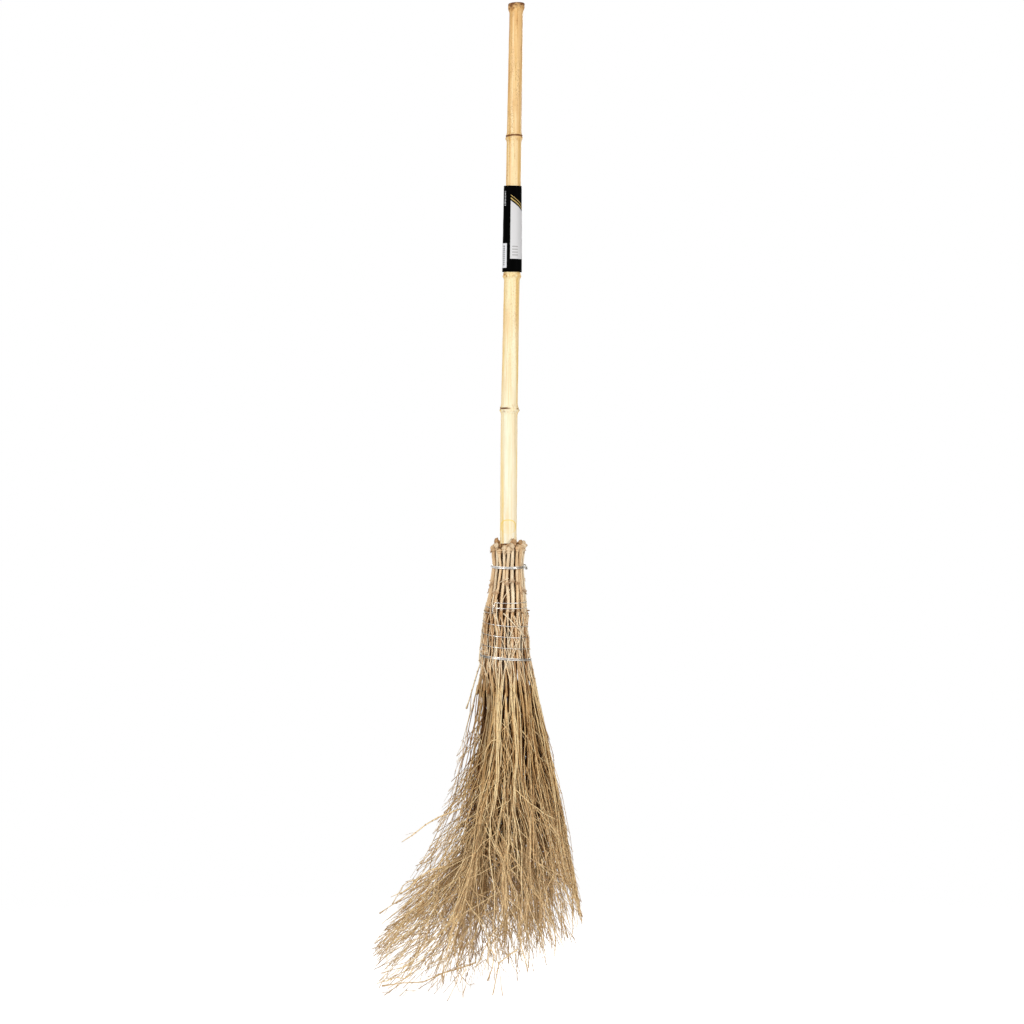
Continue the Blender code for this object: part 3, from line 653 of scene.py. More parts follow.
# How dark the painted shade inside the head is: the first number, less the second at the head's outside.
INSIDE_SHADE = (4.5, 4.75)
BARK_LUMP = 0.00026
BARK_LUMPS_PER_METRE = 300.0
STEM_SWAY_DEGREES = 7.0
LEAN_DEGREES = 9.0
LEAN_FADE = 0.03
LEAN_POWER = 0.3
LEANS_ROUND = 1.7
LEANS_PER_METRE = 13.0
STEM_SINK = 0.0012
NECK_BULGE = 0.0036
NECK_BULGE_DROP = 0.135
NECK_BULGE_REACH = 0.042
NECK_BULGE_FADE = 0.02
# Short stubs of trimmed shoots: where they stand, how they point, and how long they are.
STUB_CHANCE = 0.7
STUB_BUTT_DROP = 0.005
STUB_DROPS = (-0.001, 0.003)
STUB_TURN = 1.1
STUB_OUT = 0.8
STUB_RISES = (-1.0, 0.2)
STUB_LENGTHS = (0.0025, 0.0060)
SHOOT_CHANCE = 0.85
SHOOT_CHANCE_SHARES = (0.8, 0.5)
SHOOT_START_SHARE = 0.06
SHOOT_LENGTHS = (0.050, 0.200)
SHORTEST_SHOOT = 0.010
SHORTEST_RUN = 0.03
TIP_OVERRUN = 0.03
SHOOT_BOW = 0.6
FOOT_HAIR_CHANCE = 0.5
FOOT_HAIR_START = 0.4
SHOOT_DRIFT = 0.66
SHOOT_DRIFT_RUN = 3.0
STRAY_CHANCE = 0.20
STRAY_DRIFT = 1.8
EARLY_TIP_SHARE = 0.30
EARLY_TIP_POWER = 1.5
# Where few shoots grow: bounds across and down the fan, and how many are missing there.
SPARSE_SHARES = (
    (-1.1, -0.40, 0.0, 0.50, 0.80), (0.05, 0.75, 0.05, 0.55, 0.40), (-1.1, -0.30, 0.50, 1.1, 0.30),
    (-0.30, 1.1, 0.60, 1.1, 0.42),
)
FOOT_PULL = 0.44
FOOT_PULL_START = 0.60
FOOT_PULL_ACROSS = -0.80
FOOT_PULL_WIDTH = 0.38
# How far side shoots at the left of the foot splay out, and where.
SPLAY = 1.1
SPLAY_START = 0.42
SPLAY_RUN = 0.3
SPLAY_ACROSS = -0.85
SPLAY_WIDTH = 0.42
# Where strands draw together into bundles, with gaps between: how far they turn, and how often.
BUNDLE_DEGREES = 10.5
BUNDLE_START_SHARE = 0.06
BUNDLES_ROUND = 4.4
BUNDLES_DOWN = 4.6
# Most of the strands at the left lie further in, and leave the edge of the fan thin.
TUCK_SHARES = (0.48, 0.72)
TUCK_ACROSS = (0.25, 0.35)
TUCK_RUN = (0.08, 0.76, 0.24)
LOOSE_CHANCE = 0.25
LOOSE_TUCKS = (0.78, 1.25)
LOOSE_SIZE = 0.72
TUFT_CHANCE = 0.32
TUFT_DRIFT = 0.14
HAIR_CHANCE = 0.34
HAIR_LENGTHS = (0.006, 0.023)
HAIR_DEGREES = (12.0, 40.0)
HAIR_BEND_SHARE = 0.4
HAIR_START_SHARE = 0.2
STRAND_FIRST_SHARE = 0.12
STRAND_WANDER = 0.006
STRAND_SWING = 0.11
STRAND_SIZES = (0.68, 1.28)
SHADE_SPREAD = (-0.82, 0.66)
STRAND_WAVERS = (0.0, 0.4, 0.78, 1.0)
STRAND_BENDS = (0.0, 0.28, 0.62, 1.0)
PULL_SHARES = (0.15, 1.35)
# The fan's rims, past which no strand goes on: drops from the head's top, and left and right of
# the cane's top. The ends are ragged from RIM_RAGGED_DROP on, and more so over RIM_RAGGED_RUN.
LEFT_RIM = (
    (0.184, 0.210, 0.270, 0.330, 0.390, 0.450, 0.510, 0.570, 0.600, 0.609, 0.625, 0.652, 0.669, 0.690),
    (-0.062, -0.068, -0.078, -0.090, -0.106, -0.128, -0.164, -0.195, -0.214, -0.2235, -0.217, -0.210,
     -0.206, -0.200),
)
RIGHT_RIM = (
    (0.184, 0.210, 0.300, 0.360, 0.420, 0.480, 0.540, 0.570, 0.600, 0.612, 0.630, 0.660, 0.690),
    (0.034, 0.037, 0.055, 0.069, 0.084, 0.097, 0.105, 0.101, 0.093, 0.070, 0.045, 0.000, -0.040),
)
RIM_RAGGED = 0.018
RIM_RAGGED_DROP = 0.42
RIM_RAGGED_RUN = 0.10
RIM_STEPS = 40
RIM_THICKNESS = 0.04
# How far past the frame's lowest corner the finest ends may reach, to the left and to the ground.
REACH_LEFT = 0.010
GROUND_GAP = 0.0008

# The lumps of the bark are the same each time.
noise.seed_set(SEED)


def unit(value):
    """A value held between 0 and 1."""
    return min(1.0, max(0.0, value))


def layer_radius(outer, drop):
    """How far the middle of a layer of twigs lies from the axis, down to FAN_DROP."""
    inner = CANE_BUTT_DIAMETER / 2 + NODE_SWELL * NODE_SWELL_SHARES[4] + FIT_GAP + TWIG_DIAMETER / 2
    base = inner + TWIG_DIAMETER + FIT_GAP if outer else inner
    growth = OUTER_GROWTH if outer else INNER_GROWTH
    if drop < UPPER_WIRE_DROP:
        flare = OUTER_TOP_FLARE if outer else INNER_TOP_FLARE
        return base + flare * (UPPER_WIRE_DROP - drop) / UPPER_WIRE_DROP
    return base + growth * (drop - UPPER_WIRE_DROP) / (FAN_DROP - UPPER_WIRE_DROP)


def bulge_at(angle, drop):
    """How far the bound twigs bulge out at the left, between the wires."""
    fade = unit((FAN_DROP - drop) / NECK_BULGE_FADE)
    left = max(0.0, -math.cos(angle))
    return NECK_BULGE * left * hump(drop - NECK_BULGE_DROP, NECK_BULGE_REACH) * fade


def neck_point(radius, angle, drop):
    """A place round the axis in the bound part of the head, where neighbours lean together."""
    field = spoke(angle) * LEANS_ROUND + Vector((0.0, 0.0, drop * LEANS_PER_METRE))
    lean = math.radians(LEAN_DEGREES) * noise.noise(field) * min(1.0, (FAN_DROP - drop) / LEAN_FADE)
    turned_angle = angle + max(0.0, drop / FAN_DROP) ** LEAN_POWER * lean
    return axis_at(HEAD_TOP - drop) + spoke(turned_angle) * (radius + bulge_at(turned_angle, drop))


skin_radius = layer_radius(True, FAN_DROP) + TWIG_DIAMETER / 2 * math.cos(math.pi / 4)


def fan_half_sizes(across, share):
    """The fan's half width, on the side that across points to, and its half depth."""
    spread = skin_radius + FAN_SPREAD * (1 - (1 - share) ** FAN_SPREAD_POWER)
    side = FAN_RIGHT * share**FAN_POWER if across > 0 else FAN_SWEEP * share**FAN_SWEEP_POWER
    return spread + side, spread + FAN_DEPTH * share**FAN_POWER


def fan_point(across, back, share):
    """A point in the fan: across and back are shares of its half width and half depth."""
    share = min(share, 1.0)
    field = Vector((across, back, 0.0)).normalized() * BUNDLES_ROUND
    field.z = share * BUNDLES_DOWN
    turn = math.radians(BUNDLE_DEGREES) * noise.noise(field) * unit(share / BUNDLE_START_SHARE)
    spot = Matrix.Rotation(turn, 2) @ Vector((across, back))
    wide, deep = fan_half_sizes(spot.x, share)
    drop = FAN_DROP + (HEAD_LENGTH - FAN_DROP) * share
    return axis_at(HEAD_TOP - drop) + Vector((wide * spot.x, deep * spot.y, 0.0))


def fan_share(drop):
    """How far down the fan a drop lies, from 0 to 1."""
    return (drop - FAN_DROP) / (HEAD_LENGTH - FAN_DROP)


def tip_share(across, rng):
    """How far down the fan a strand ends: the twigs on the right are shorter, and all are ragged."""
    return between(across, TIP_ACROSS_SHARES, TIP_DOWN_SHARES) + rng.uniform(*FAN_RAGGED_SHARES)


def foot_pull(across, share):
    """How far a strand left of the middle is drawn out towards the side that the broom leans to."""
    late = max(0.0, (share - FOOT_PULL_START) / (1 - FOOT_PULL_START))
    return -FOOT_PULL * hump(across - FOOT_PULL_ACROSS, FOOT_PULL_WIDTH) * late**2


def tucked(across, share, tuck):
    """Where a strand at the left lies: further in than the edge, until the foot spreads out."""
    start, stop, fade = TUCK_RUN
    middle, width = TUCK_ACROSS
    side = unit((-across - middle) / width)
    ease = unit(share / start) * unit((stop - share) / fade)
    return across * (1 - (1 - tuck) * side * ease)


def any_tuck(rng):
    """How far in a strand is tucked: most are, and a few hang loose at the edge."""
    return rng.uniform(*(LOOSE_TUCKS if rng.random() < LOOSE_CHANCE else TUCK_SHARES))


def any_shade(tint, rng, shift=0.0):
    """A shoot's tint, which strays far from its twig's."""
    return unit(tint + rng.uniform(*SHADE_SPREAD) + shift)


def within(spot):
    """A spot of the fan drawn in towards the middle plane, so that it stays inside the rim."""
    limit = math.sqrt(max(RIM_THICKNESS, 1 - spot.x * spot.x))
    return Vector((min(spot.x, 1.0), max(-limit, min(limit, spot.y))))


def shade_depth_share(spot):
    """Painted shade for depth inside the head: 0 at its outside, and 1 from about a quarter in."""
    drop = HEAD_TOP - spot.z
    aside = spot - axis_at(spot.z)
    if drop < FAN_DROP:
        wide = deep = layer_radius(True, drop) + TWIG_DIAMETER / 4
    else:
        wide, deep = fan_half_sizes(aside.x, fan_share(drop))
    most, fade = INSIDE_SHADE
    return unit(most - fade * math.hypot(aside.x / wide, aside.y / deep))


def kept_share(path, rng):
    """How much of a strand lies inside the fan's rims, which are ragged at the foot."""
    ragged = RIM_RAGGED * rng.random() ** 2
    for step in range(1, RIM_STEPS + 1):
        place = path(step / RIM_STEPS)
        drop = max(FAN_DROP, HEAD_TOP - place.z)
        inset = ragged * unit((drop - RIM_RAGGED_DROP) / RIM_RAGGED_RUN)
        if not between(drop, *LEFT_RIM) + inset < place.x < between(drop, *RIGHT_RIM) - inset:
            return (step - 1) / RIM_STEPS
    return 1.0


def any_way(rng):
    """A direction of no bias."""
    return Vector((rng.gauss(0, 1), rng.gauss(0, 1), rng.gauss(0, 1))).normalized()


def grow(lines, path, length, kind, tint, rng, sway=0.0):
    """Adds one jointed shoot along a path, and gives its joints as (share, place, direction)."""
    count = max(2, round(length / kind["joint_gap"]))
    shares = [0.0]
    for step in range(1, count):
        shares.append((step + rng.uniform(-JOINT_SCATTER, JOINT_SCATTER)) / count)
    shares.append(1.0)
    wander = any_way(rng) * sway
    places = []
    for step, share in enumerate(shares):
        aside = any_way(rng) * kind["zigzag"] if step else Vector()
        place = path(share) + aside + wander * math.sin(math.pi * share)
        place.x = max(place.x, cad_low.x - REACH_LEFT)
        place.z = max(place.z, cad_low.z + GROUND_GAP)
        places.append(place)
    thick, thin = kind["radii"]
    budded = rng.random() < TIP_BUD_CHANCE
    points = [(places[0], 0.0, 0.0)]
    joints = []
    for step, (share, place) in enumerate(zip(shares, places)):
        radius = thick + (thin - thick) * share
        before = (place - places[step - 1]).normalized() if step else None
        after = (places[step + 1] - place).normalized() if step < count else None
        half = radius * JOINT_HALF_SHARE
        if step == 0:
            points.append((place + after * half, radius, 0.0))
        elif step == count:
            swell, dark = (TIP_BUD_SWELL, BUD_DARK) if budded else (TIP_SWELL, TIP_DARK)
            points += [(place - before * half, thin * swell, dark), (place, 0.0, END_DARK)]
        elif kind is HAIR:
            points.append((place, radius, HAIR_DARK))
        else:
            points += [(place - before * half, radius, 0.0), (place, radius * kind["swell"], JOINT_DARK)]
            points.append((place + after * half, radius, 0.0))
            joints.append((share, place, after))
    lines.append((points, tint))
    return joints


def add_hairs(lines, joints, tint, rng, chance=HAIR_CHANCE):
    """Short fine side shoots at some of a shoot's joints, which bend back along it."""
    for _, place, way in joints:
        if rng.random() > chance:
            continue
        side = way.cross(any_way(rng)).normalized()
        lean = math.radians(rng.uniform(*HAIR_DEGREES))
        length = rng.uniform(*HAIR_LENGTHS)

        def path(share):
            bend = lean * (1 - HAIR_BEND_SHARE * share)
            return place + (way * math.cos(bend) + side * math.sin(bend)) * (length * share)

        grow(lines, path, length, HAIR, tint, rng)


def add_shoots(lines, joints, spot_at, tint, rng):
    """Side shoots at a strand's joints, which leave it at a slant and then run down beside it."""
    least, growth = SHOOT_CHANCE_SHARES
    for share, _, _ in joints:
        across, back, down = spot_at(share)
        chance = SHOOT_CHANCE * (least + growth * share)
        for left, right, high, low, missing in SPARSE_SHARES:
            if left < across < right and high < down < low:
                chance *= 1 - missing
        if share < SHOOT_START_SHARE or rng.random() > chance:
            continue
        run = rng.uniform(*SHOOT_LENGTHS) / (HEAD_LENGTH - FAN_DROP)
        size = TUFT_DRIFT if rng.random() < TUFT_CHANCE else SHOOT_DRIFT
        drift = Vector((rng.gauss(0, size), rng.gauss(0, size)))
        drift *= STRAY_DRIFT if rng.random() < STRAY_CHANCE else 1.0
        room = between(across, TIP_ACROSS_SHARES, TIP_DOWN_SHARES) + TIP_OVERRUN - down
        room -= EARLY_TIP_SHARE * rng.random() ** EARLY_TIP_POWER
        run = min(run, max(SHORTEST_RUN, room))
        start = Vector((across, back))
        goal = start + drift * run * SHOOT_DRIFT_RUN
        goal.x += foot_pull(across, down + run) - foot_pull(across, down)
        late = unit((down + run - SPLAY_START) / SPLAY_RUN)
        goal.x -= SPLAY * run * rng.random() * hump(across - SPLAY_ACROSS, SPLAY_WIDTH) * late

        def way_down(way):
            here = within(start.lerp(goal, way + (way - way * way) * SHOOT_BOW))
            return fan_point(here.x, here.y, down + run * way)

        kept = kept_share(way_down, rng)
        length = run * kept * (HEAD_LENGTH - FAN_DROP)
        if length < SHORTEST_SHOOT:
            continue
        shade = any_shade(tint, rng, TINT_SHIFT)
        side_joints = grow(lines, lambda way: way_down(way * kept), length, SHOOT, shade, rng)
        chance = HAIR_CHANCE + FOOT_HAIR_CHANCE * max(0.0, down - FOOT_HAIR_START)
        add_hairs(lines, side_joints, shade, rng, chance)


def tube_mesh(name, lines, roundness, capped=False):
    """A mesh of round tubes along lines of (place, radius) points."""
    curve = bpy.data.curves.new(name, "CURVE")
    curve.dimensions = "3D"
    curve.bevel_depth = 1.0
    curve.bevel_resolution = roundness
    curve.use_fill_caps = capped
    for line in lines:
        spline = curve.splines.new("POLY")
        spline.points.add(len(line) - 1)
        for made, (place, radius) in zip(spline.points, line):
            made.co = (*place, 1.0)
            made.radius = radius
    holder = bpy.data.objects.new(name, curve)
    mesh = bpy.data.meshes.new_from_object(holder)
    bpy.data.objects.remove(holder)
    bpy.data.curves.remove(curve)
    return mesh


def skin_lines(name, lines, roundness):
    """A mesh of round tapering tubes along the lines, with their tints, joints and painted inner shade."""
    mesh = tube_mesh(name, [[point[:2] for point in points] for points, _ in lines], roundness)
    values = [(tint, dark, shade_depth_share(place)) for points, tint in lines for place, _, dark in points]
    sides = len(mesh.vertices) // len(values)
    for key, column in zip(("tint", "joint", "painted_shade"), zip(*values)):
        spread = [value for value in column for _ in range(sides)]
        mesh.attributes.new(key, "FLOAT", "POINT").data.foreach_set("value", spread)
    return mesh


def stem_lines(outer, order, angle, butt, knuckle, fork, tint, rng):
    """A stem from its butt's knob down to its fork, with its knuckle."""
    sways = [rng.uniform(-0.5, 0.5) * math.radians(STEM_SWAY_DEGREES) for _ in range(2)]
    size = KNOB_RADIUS * rng.uniform(*KNOB_SIZES) * (1.0 if outer else INNER_KNOB_SIZE)
    height = BUTT_HEIGHT * rng.uniform(*KNOB_HEIGHT_SIZES)
    points = [(butt - KNOB_CAP, 0.0, KNOB_DARK)]
    for down, share in KNOB_SHARES:
        points.append((butt + height * down, size * share, KNOB_DARK - KNOB_DARK_FADE * down))
    radius = STEM_RADIUS * rng.uniform(*STEM_SIZES)
    for drop in STEM_TOP_DROPS:
        points.append((drop, radius * rng.uniform(*STEM_TOP_SIZES), 0.0))
    for offset, swell, joint in KNUCKLE_SHARES:
        points.append((knuckle + offset * KNUCKLE_REACH, radius * swell, joint))
    for way in STEM_FOOT_PLACES:
        drop = knuckle + KNUCKLE_REACH + (fork - knuckle - KNUCKLE_REACH) * way
        points.append((drop, radius * rng.uniform(*STEM_FOOT_SIZES), 0.0))
    for past, swell, joint in FORK_SHARES:
        points.append((fork + past, radius * swell, joint))
    made = []
    rise = BUTT_RISE * math.sin(angle) + BUTT_STEP * (order % 2 - 0.5)
    rise += BUTT_SCATTER * rng.uniform(-1.0, 1.0)
    lean = spoke(rng.uniform(0.0, 2 * math.pi)) * KNOB_LEAN
    slack = 0.5 + sways[1] / math.radians(STEM_SWAY_DEGREES)
    for drop, thick, joint in points:
        drop -= rise * max(0.0, 1 - max(0.0, drop - butt) / UPPER_WIRE_DROP)
        way = unit((drop - butt) / (fork - butt))
        swing = sways[0] * math.sin(math.pi * way) + sways[1] * math.sin(3 * math.pi * way)
        sink = STEM_SINK * math.sin(math.pi * way) ** 2 * slack
        aside = lean * max(0.0, 1 - way * (fork - butt) / BUTT_HEIGHT)
        place = neck_point(layer_radius(outer, drop) - sink, angle + swing, drop) + aside
        made.append((place, thick, joint))
    return made, tint


def dress_twig(name, outer, order, count):
    """One whole twig round its node of the frame, with the same forks and the same main strands."""
    rng = random.Random(f"{name} {SEED}")
    rough = random.Random(f"{name} bark")
    sector = 2 * math.pi / count
    angle = sector * (order + (0.5 if outer else 0.0))
    tint = rough.uniform(*(OUTER_TINTS if outer else INNER_SHADED_TINTS))
    stout, fine, grown = [], [], []
    butt = BUTT_STAGGER * rng.random() + (OUTER_BUTT_DROP if outer else 0.0)
    knuckle = KNUCKLE_DROP + KNUCKLE_STAGGER * (rng.random() if outer else rough.random())
    fork = FORK_DROP - FORK_STAGGER * rng.random()
    stout.append(stem_lines(outer, order, angle, butt, knuckle, fork, tint, rough))
    stub_joints = (butt + STUB_BUTT_DROP, knuckle, fork) if outer else ()
    for joint in stub_joints:
        if rough.random() > STUB_CHANCE:
            continue
        drop = joint + rough.uniform(*STUB_DROPS)
        start = neck_point(layer_radius(outer, drop), angle, drop)
        lean = spoke(angle + rough.uniform(-STUB_TURN, STUB_TURN)) * STUB_OUT
        lean = (lean + Vector((0.0, 0.0, rough.uniform(*STUB_RISES)))).normalized()
        length = rough.uniform(*STUB_LENGTHS) + STEM_RADIUS
        grow(stout, lambda share: start + lean * (length * share), length, STUB, tint, rough)
    for place in (-1, 1):
        branch_angle = angle + place * sector / 4
        # A number is drawn and left, so that the strands take the same ones as the frame's twig.
        rng.random()
        end = STRAND_DROP + STRAND_STAGGER * rng.random()
        spot = spoke(branch_angle) * (layer_radius(outer, FAN_DROP) / skin_radius)

        def branch_path(share):
            drop = fork - BRANCH_RISE + (end + BRANCH_OVERRUN - fork) * share
            if drop < FAN_DROP:
                turn = min(1.0, (drop - fork + BRANCH_RISE) / BRANCH_TURN_RUN)
                return neck_point(layer_radius(outer, drop), angle + (branch_angle - angle) * turn, drop)
            return fan_point(spot.x, spot.y, fan_share(drop))

        grow(stout, branch_path, end - fork, BRANCH, any_shade(tint, rough, -TINT_SHIFT), rough)
        shares = OUTER_STRAND_SHARES if outer else INNER_STRAND_SHARES
        stagger = 0.0 if outer else INNER_STAGGER_SHARE * place / 2
        turn = sector / 2 * SIDE_SECTOR_SHARE
        for key, side in (("out", 0), ("in", 0), ("side", -1), ("side", 1)):
            goal_angle = branch_angle + side * turn
            goal = spoke(goal_angle).xy * (shares[key] + stagger)
            last = tip_share(goal.x, rng) - EARLY_TIP_SHARE * rough.random() ** 2
            wavers = [rng.uniform(-1.0, 1.0) * math.radians(STRAND_WAVER_DEGREES) for _ in range(2)]
            first = spot.xy + spoke(goal_angle).xy * (STRAND_FIRST_SHARE * (shares[key] - shares["side"]))
            swings = [Vector((rough.gauss(0, 1), rough.gauss(0, 1))) * STRAND_SWING for _ in range(3)]
            tuck, pull = any_tuck(rough), rough.uniform(*PULL_SHARES)

            def spot_at(share):
                down = fan_share(end) + (last - fan_share(end)) * share
                here = first.lerp(goal, share)
                here.rotate(Matrix.Rotation(between(share, STRAND_WAVERS, (0.0, *wavers, 0.0)), 2))
                here += between(share, STRAND_BENDS, (Vector((0.0, 0.0)), *swings))
                here.x = tucked(here.x, down, tuck) + foot_pull(goal.x, down) * pull
                here = within(here)
                return here.x, here.y, down

            def way_down(share):
                return fan_point(*spot_at(share))

            cut = kept_share(way_down, rough)
            shade = any_shade(tint, rough)
            length = (last - fan_share(end)) * (HEAD_LENGTH - FAN_DROP) * cut
            size = rough.uniform(*STRAND_SIZES) * (LOOSE_SIZE if tuck > TUCK_SHARES[1] else 1.0)
            kind = {**STRAND, "radii": tuple(radius * size for radius in STRAND["radii"])}
            joints = grow(
                fine, lambda share: way_down(share * cut), length, kind, shade, rough, STRAND_WANDER,
            )
            grown += joints
            starts = [(share * cut, place, way) for share, place, way in joints]
            add_shoots(fine, starts, spot_at, shade, rough)
            haired = [joint for joint in joints if joint[0] > HAIR_START_SHARE]
            add_hairs(fine, haired, shade, rough)
    return stout, fine, grown


NECK_SHOOT = {"radii": (0.0010, 0.0006), "joint_gap": 0.024, "zigzag": 0.0014, "swell": 1.5}
NECK_SHOOTS = 4
NECK_SHOOT_LEFT_LIFT = 2.4
NECK_SHOOT_DROPS = (0.070, 0.190)
NECK_SHOOT_ENDS = (0.15, 0.80)
NECK_SHOOT_TURN_DEGREES = 38.0
NECK_SHOOT_RUN = 0.065
NECK_SHOOT_LIFT = 0.0026
NECK_SHOOT_LIFT_RUN = 0.012
NECK_SHOOT_DIVE = 0.0008
NECK_SHOOT_TUCKS = (0.45, 0.9)
NECK_SHOOT_TUCK_RUN = 3.0
NECK_SHOOT_FURTHEST = 1.05
NECK_HAIR_CHANCE = 0.15
INNER_NECK_TINTS = (0.1, 0.8)
WIRE_CLEARANCE = 0.0025
WIRE_DIVE_REACH = 0.007
LOWER_WIRE_DROP = 0.1725
STOUT_ROUNDNESS = 3
FINE_ROUNDNESS = 0
MERGE_REACH = 0.000001
# Each wire's diameter, turns, pitch, drop, the side of its twist, and its dips to front and side.
WIRES = {
    "upper_binding_wire": (0.0016, 2, 0.0021, UPPER_WIRE_DROP, -12.0, 0.0025, 0.0),
    "tie_wire": (0.0010, 2, 0.0080, 0.0900, -128.0, 0.0030, -0.0010),
    "spiral_wire": (0.0010, 3, 0.0165, 0.1174, 115.0, 0.0035, 0.0),
    "lower_binding_wire": (0.0016, 2, 0.0021, LOWER_WIRE_DROP, 50.0, 0.0020, 0.0026),
}


def wire_drop(shape, angle):
    """How far down a wire passes at an angle, with the first turn's angle from its twist."""
    _, _, pitch, drop, tie_degrees, front_dip, side_dip = shape
    wound = pitch * (angle - math.radians(tie_degrees)) / (2 * math.pi)
    return drop + wound - front_dip * math.sin(angle) + side_dip * math.cos(angle)


def from_wire(drop, angle):
    """The height between a place on the twigs and the nearest turn of any wire."""
    near = []
    for shape in WIRES.values():
        tie_angle = math.radians(shape[4])
        first = (angle - tie_angle) % (2 * math.pi) + tie_angle
        near += [abs(drop - wire_drop(shape, first + 2 * math.pi * turn)) for turn in range(shape[1])]
    return min(near)


def neck_shoot(lines, outer, angle, tint, rng):
    """A side shoot from the neck that lies on its layer of twigs and dives under each wire."""
    start = rng.uniform(*NECK_SHOOT_DROPS)
    last = FAN_DROP + (HEAD_LENGTH - FAN_DROP) * rng.uniform(*NECK_SHOOT_ENDS)
    swing = math.radians(rng.uniform(-1.0, 1.0) * NECK_SHOOT_TURN_DEGREES)
    inward = 1.0 if outer else rng.uniform(*NECK_SHOOT_TUCKS)
    tuck = any_tuck(rng)

    def path(share):
        drop = start + (last - start) * share
        turn = angle + swing * min(1.0, (drop - start) / NECK_SHOOT_RUN)
        clear = unit((from_wire(drop, turn) - WIRE_CLEARANCE) / WIRE_DIVE_REACH)
        lift = NECK_SHOOT_LIFT * min(clear, (drop - start) / NECK_SHOOT_LIFT_RUN)
        lift -= NECK_SHOOT_DIVE * (1 - clear)
        if outer and lift > 0:
            lift *= 1 + NECK_SHOOT_LEFT_LIFT * max(0.0, -math.cos(turn))
        if drop < FAN_DROP:
            return neck_point(layer_radius(outer, drop) + lift, turn, drop)
        down = fan_share(drop)
        size = (layer_radius(outer, FAN_DROP) + lift) / skin_radius
        size *= 1 + (inward - 1) * min(1.0, down * NECK_SHOOT_TUCK_RUN)
        size = min(size, NECK_SHOOT_FURTHEST)
        across = tucked(math.cos(turn) * size, down, tuck)
        return fan_point(across + foot_pull(across, down), math.sin(turn) * size, down)

    joints = grow(lines, path, last - start, NECK_SHOOT, tint, rng)
    add_hairs(lines, joints, tint, rng, NECK_HAIR_CHANCE)


def build_spray(name, node_name, stout, fine, finish):
    """Makes a twig's lines one piece, with lumps on its knob and bark and painted shade on stout sides."""
    bm = bmesh.new()
    bm.from_mesh(skin_lines(name, stout, STOUT_ROUNDNESS))
    bm.normal_update()
    painted_shade = bm.verts.layers.float["painted_shade"]
    for vert in bm.verts:
        drop = HEAD_TOP - vert.co.z
        # Painted shade: stout wood is darker where it faces sideways or inwards, towards its neighbours.
        outward = (vert.co - axis_at(vert.co.z)).normalized()
        facing = SIDE_SHADE - SIDE_SHADE_FADE * vert.normal.dot(outward)
        vert[painted_shade] = max(vert[painted_shade], min(1.0, facing)) * between(drop, *KNOB_SHADE_SHARES)
        lump = KNOB_LUMP * max(0.0, 1 - drop / KNOB_LUMP_DROP) + BARK_LUMP
        scale = KNOB_LUMPS_PER_METRE if drop < KNOB_LUMP_DROP else BARK_LUMPS_PER_METRE
        vert.co += noise.noise_vector(vert.co * scale) * lump
    bm.from_mesh(skin_lines(name, fine, FINE_ROUNDNESS))
    bmesh.ops.remove_doubles(bm, verts=bm.verts, dist=MERGE_REACH)
    spray = link_object(name, mesh_of(name, bm), finish)
    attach(spray, "broom")
    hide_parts(node_name)
    return spray


dry_wood, tree, paint = finish_of("dry_wood", (0.62, 0.44, 0.25), 0.62, Specular_IOR_Level=0.15)
mottle = grain(tree, (520.0, 520.0, 60.0), 3.0)
patches = grain(tree, (80.0, 80.0, 30.0), 2.0)
shade = sum_of(tree, "ADD", attribute(tree, "tint"), product(tree, patches, 0.7))
shade = sum_of(tree, "SUBTRACT", shade, 0.3)
bound = ramp(
    tree, shade, (0.0, (0.48, 0.27, 0.12)), (0.35, (0.76, 0.50, 0.27)), (0.65, (0.94, 0.70, 0.44)),
    (1.0, (0.98, 0.86, 0.66)),
)
loose = ramp(
    tree, shade, (0.0, (0.26, 0.13, 0.04)), (0.35, (0.53, 0.31, 0.12)), (0.65, (0.84, 0.57, 0.26)),
    (1.0, (0.96, 0.76, 0.43)),
)
height = down_share(tree, HEAD_TOP - FAN_DROP, HEAD_TOP - HEAD_LENGTH)
wood = mixed(tree, "MIX", ramp(tree, height, (0.0, 0.3), (0.08, 1.0)), bound, loose)
# Painted light: towards the foot the thin strands are painted paler, as if lit through from behind.
painted_backlight = ramp(tree, height, (0.30, 0.0), (0.68, 0.55))
wood = mixed(tree, "MIX", painted_backlight, wood, (1.0, 0.79, 0.46))
wood = mixed(tree, "MULTIPLY", 0.6, wood, ramp(tree, mottle, (0.32, (0.62, 0.47, 0.36)), (0.58, 1.0)))
# Painted shade: the wood is darkened inside the head and where stout wood faces its neighbours, less so
# towards the foot.
painted_shade_share = product(tree, attribute(tree, "painted_shade"), ramp(tree, height, (0.34, 1.0), (0.62, 0.30)))
wood = mixed(tree, "MULTIPLY", painted_shade_share, wood, (0.26, 0.16, 0.09))
ringed = product(tree, attribute(tree, "joint"), ramp(tree, height, (0.1, 0.52), (0.6, 0.78)))
wood = mixed(tree, "MIX", ringed, wood, (0.30, 0.15, 0.07))
link(tree, wood, paint.inputs["Base Color"])
bumped(tree, paint, mottle, 0.0004)

for order in range(INNER_TWIGS):
    name = f"inner_twig_{order + 1:02d}"
    stout, fine, _ = dress_twig(name, False, order, INNER_TWIGS)
    rough = random.Random(f"{name} shoots")
    for _ in range(NECK_SHOOTS):
        tint = rough.uniform(*INNER_NECK_TINTS)
        neck_shoot(fine, False, 2 * math.pi * order / INNER_TWIGS, tint, rough)
    build_spray(f"inner_spray_{order + 1:02d}", name, stout, fine, dry_wood)

# Outer twigs: the same kind of branch tops, laid over the inner ones with their butts a little
# lower. More side shoots leave them above the lowest wire and run down across their neighbours.
OUTER_NECK_TINTS = (0.2, 1.45)
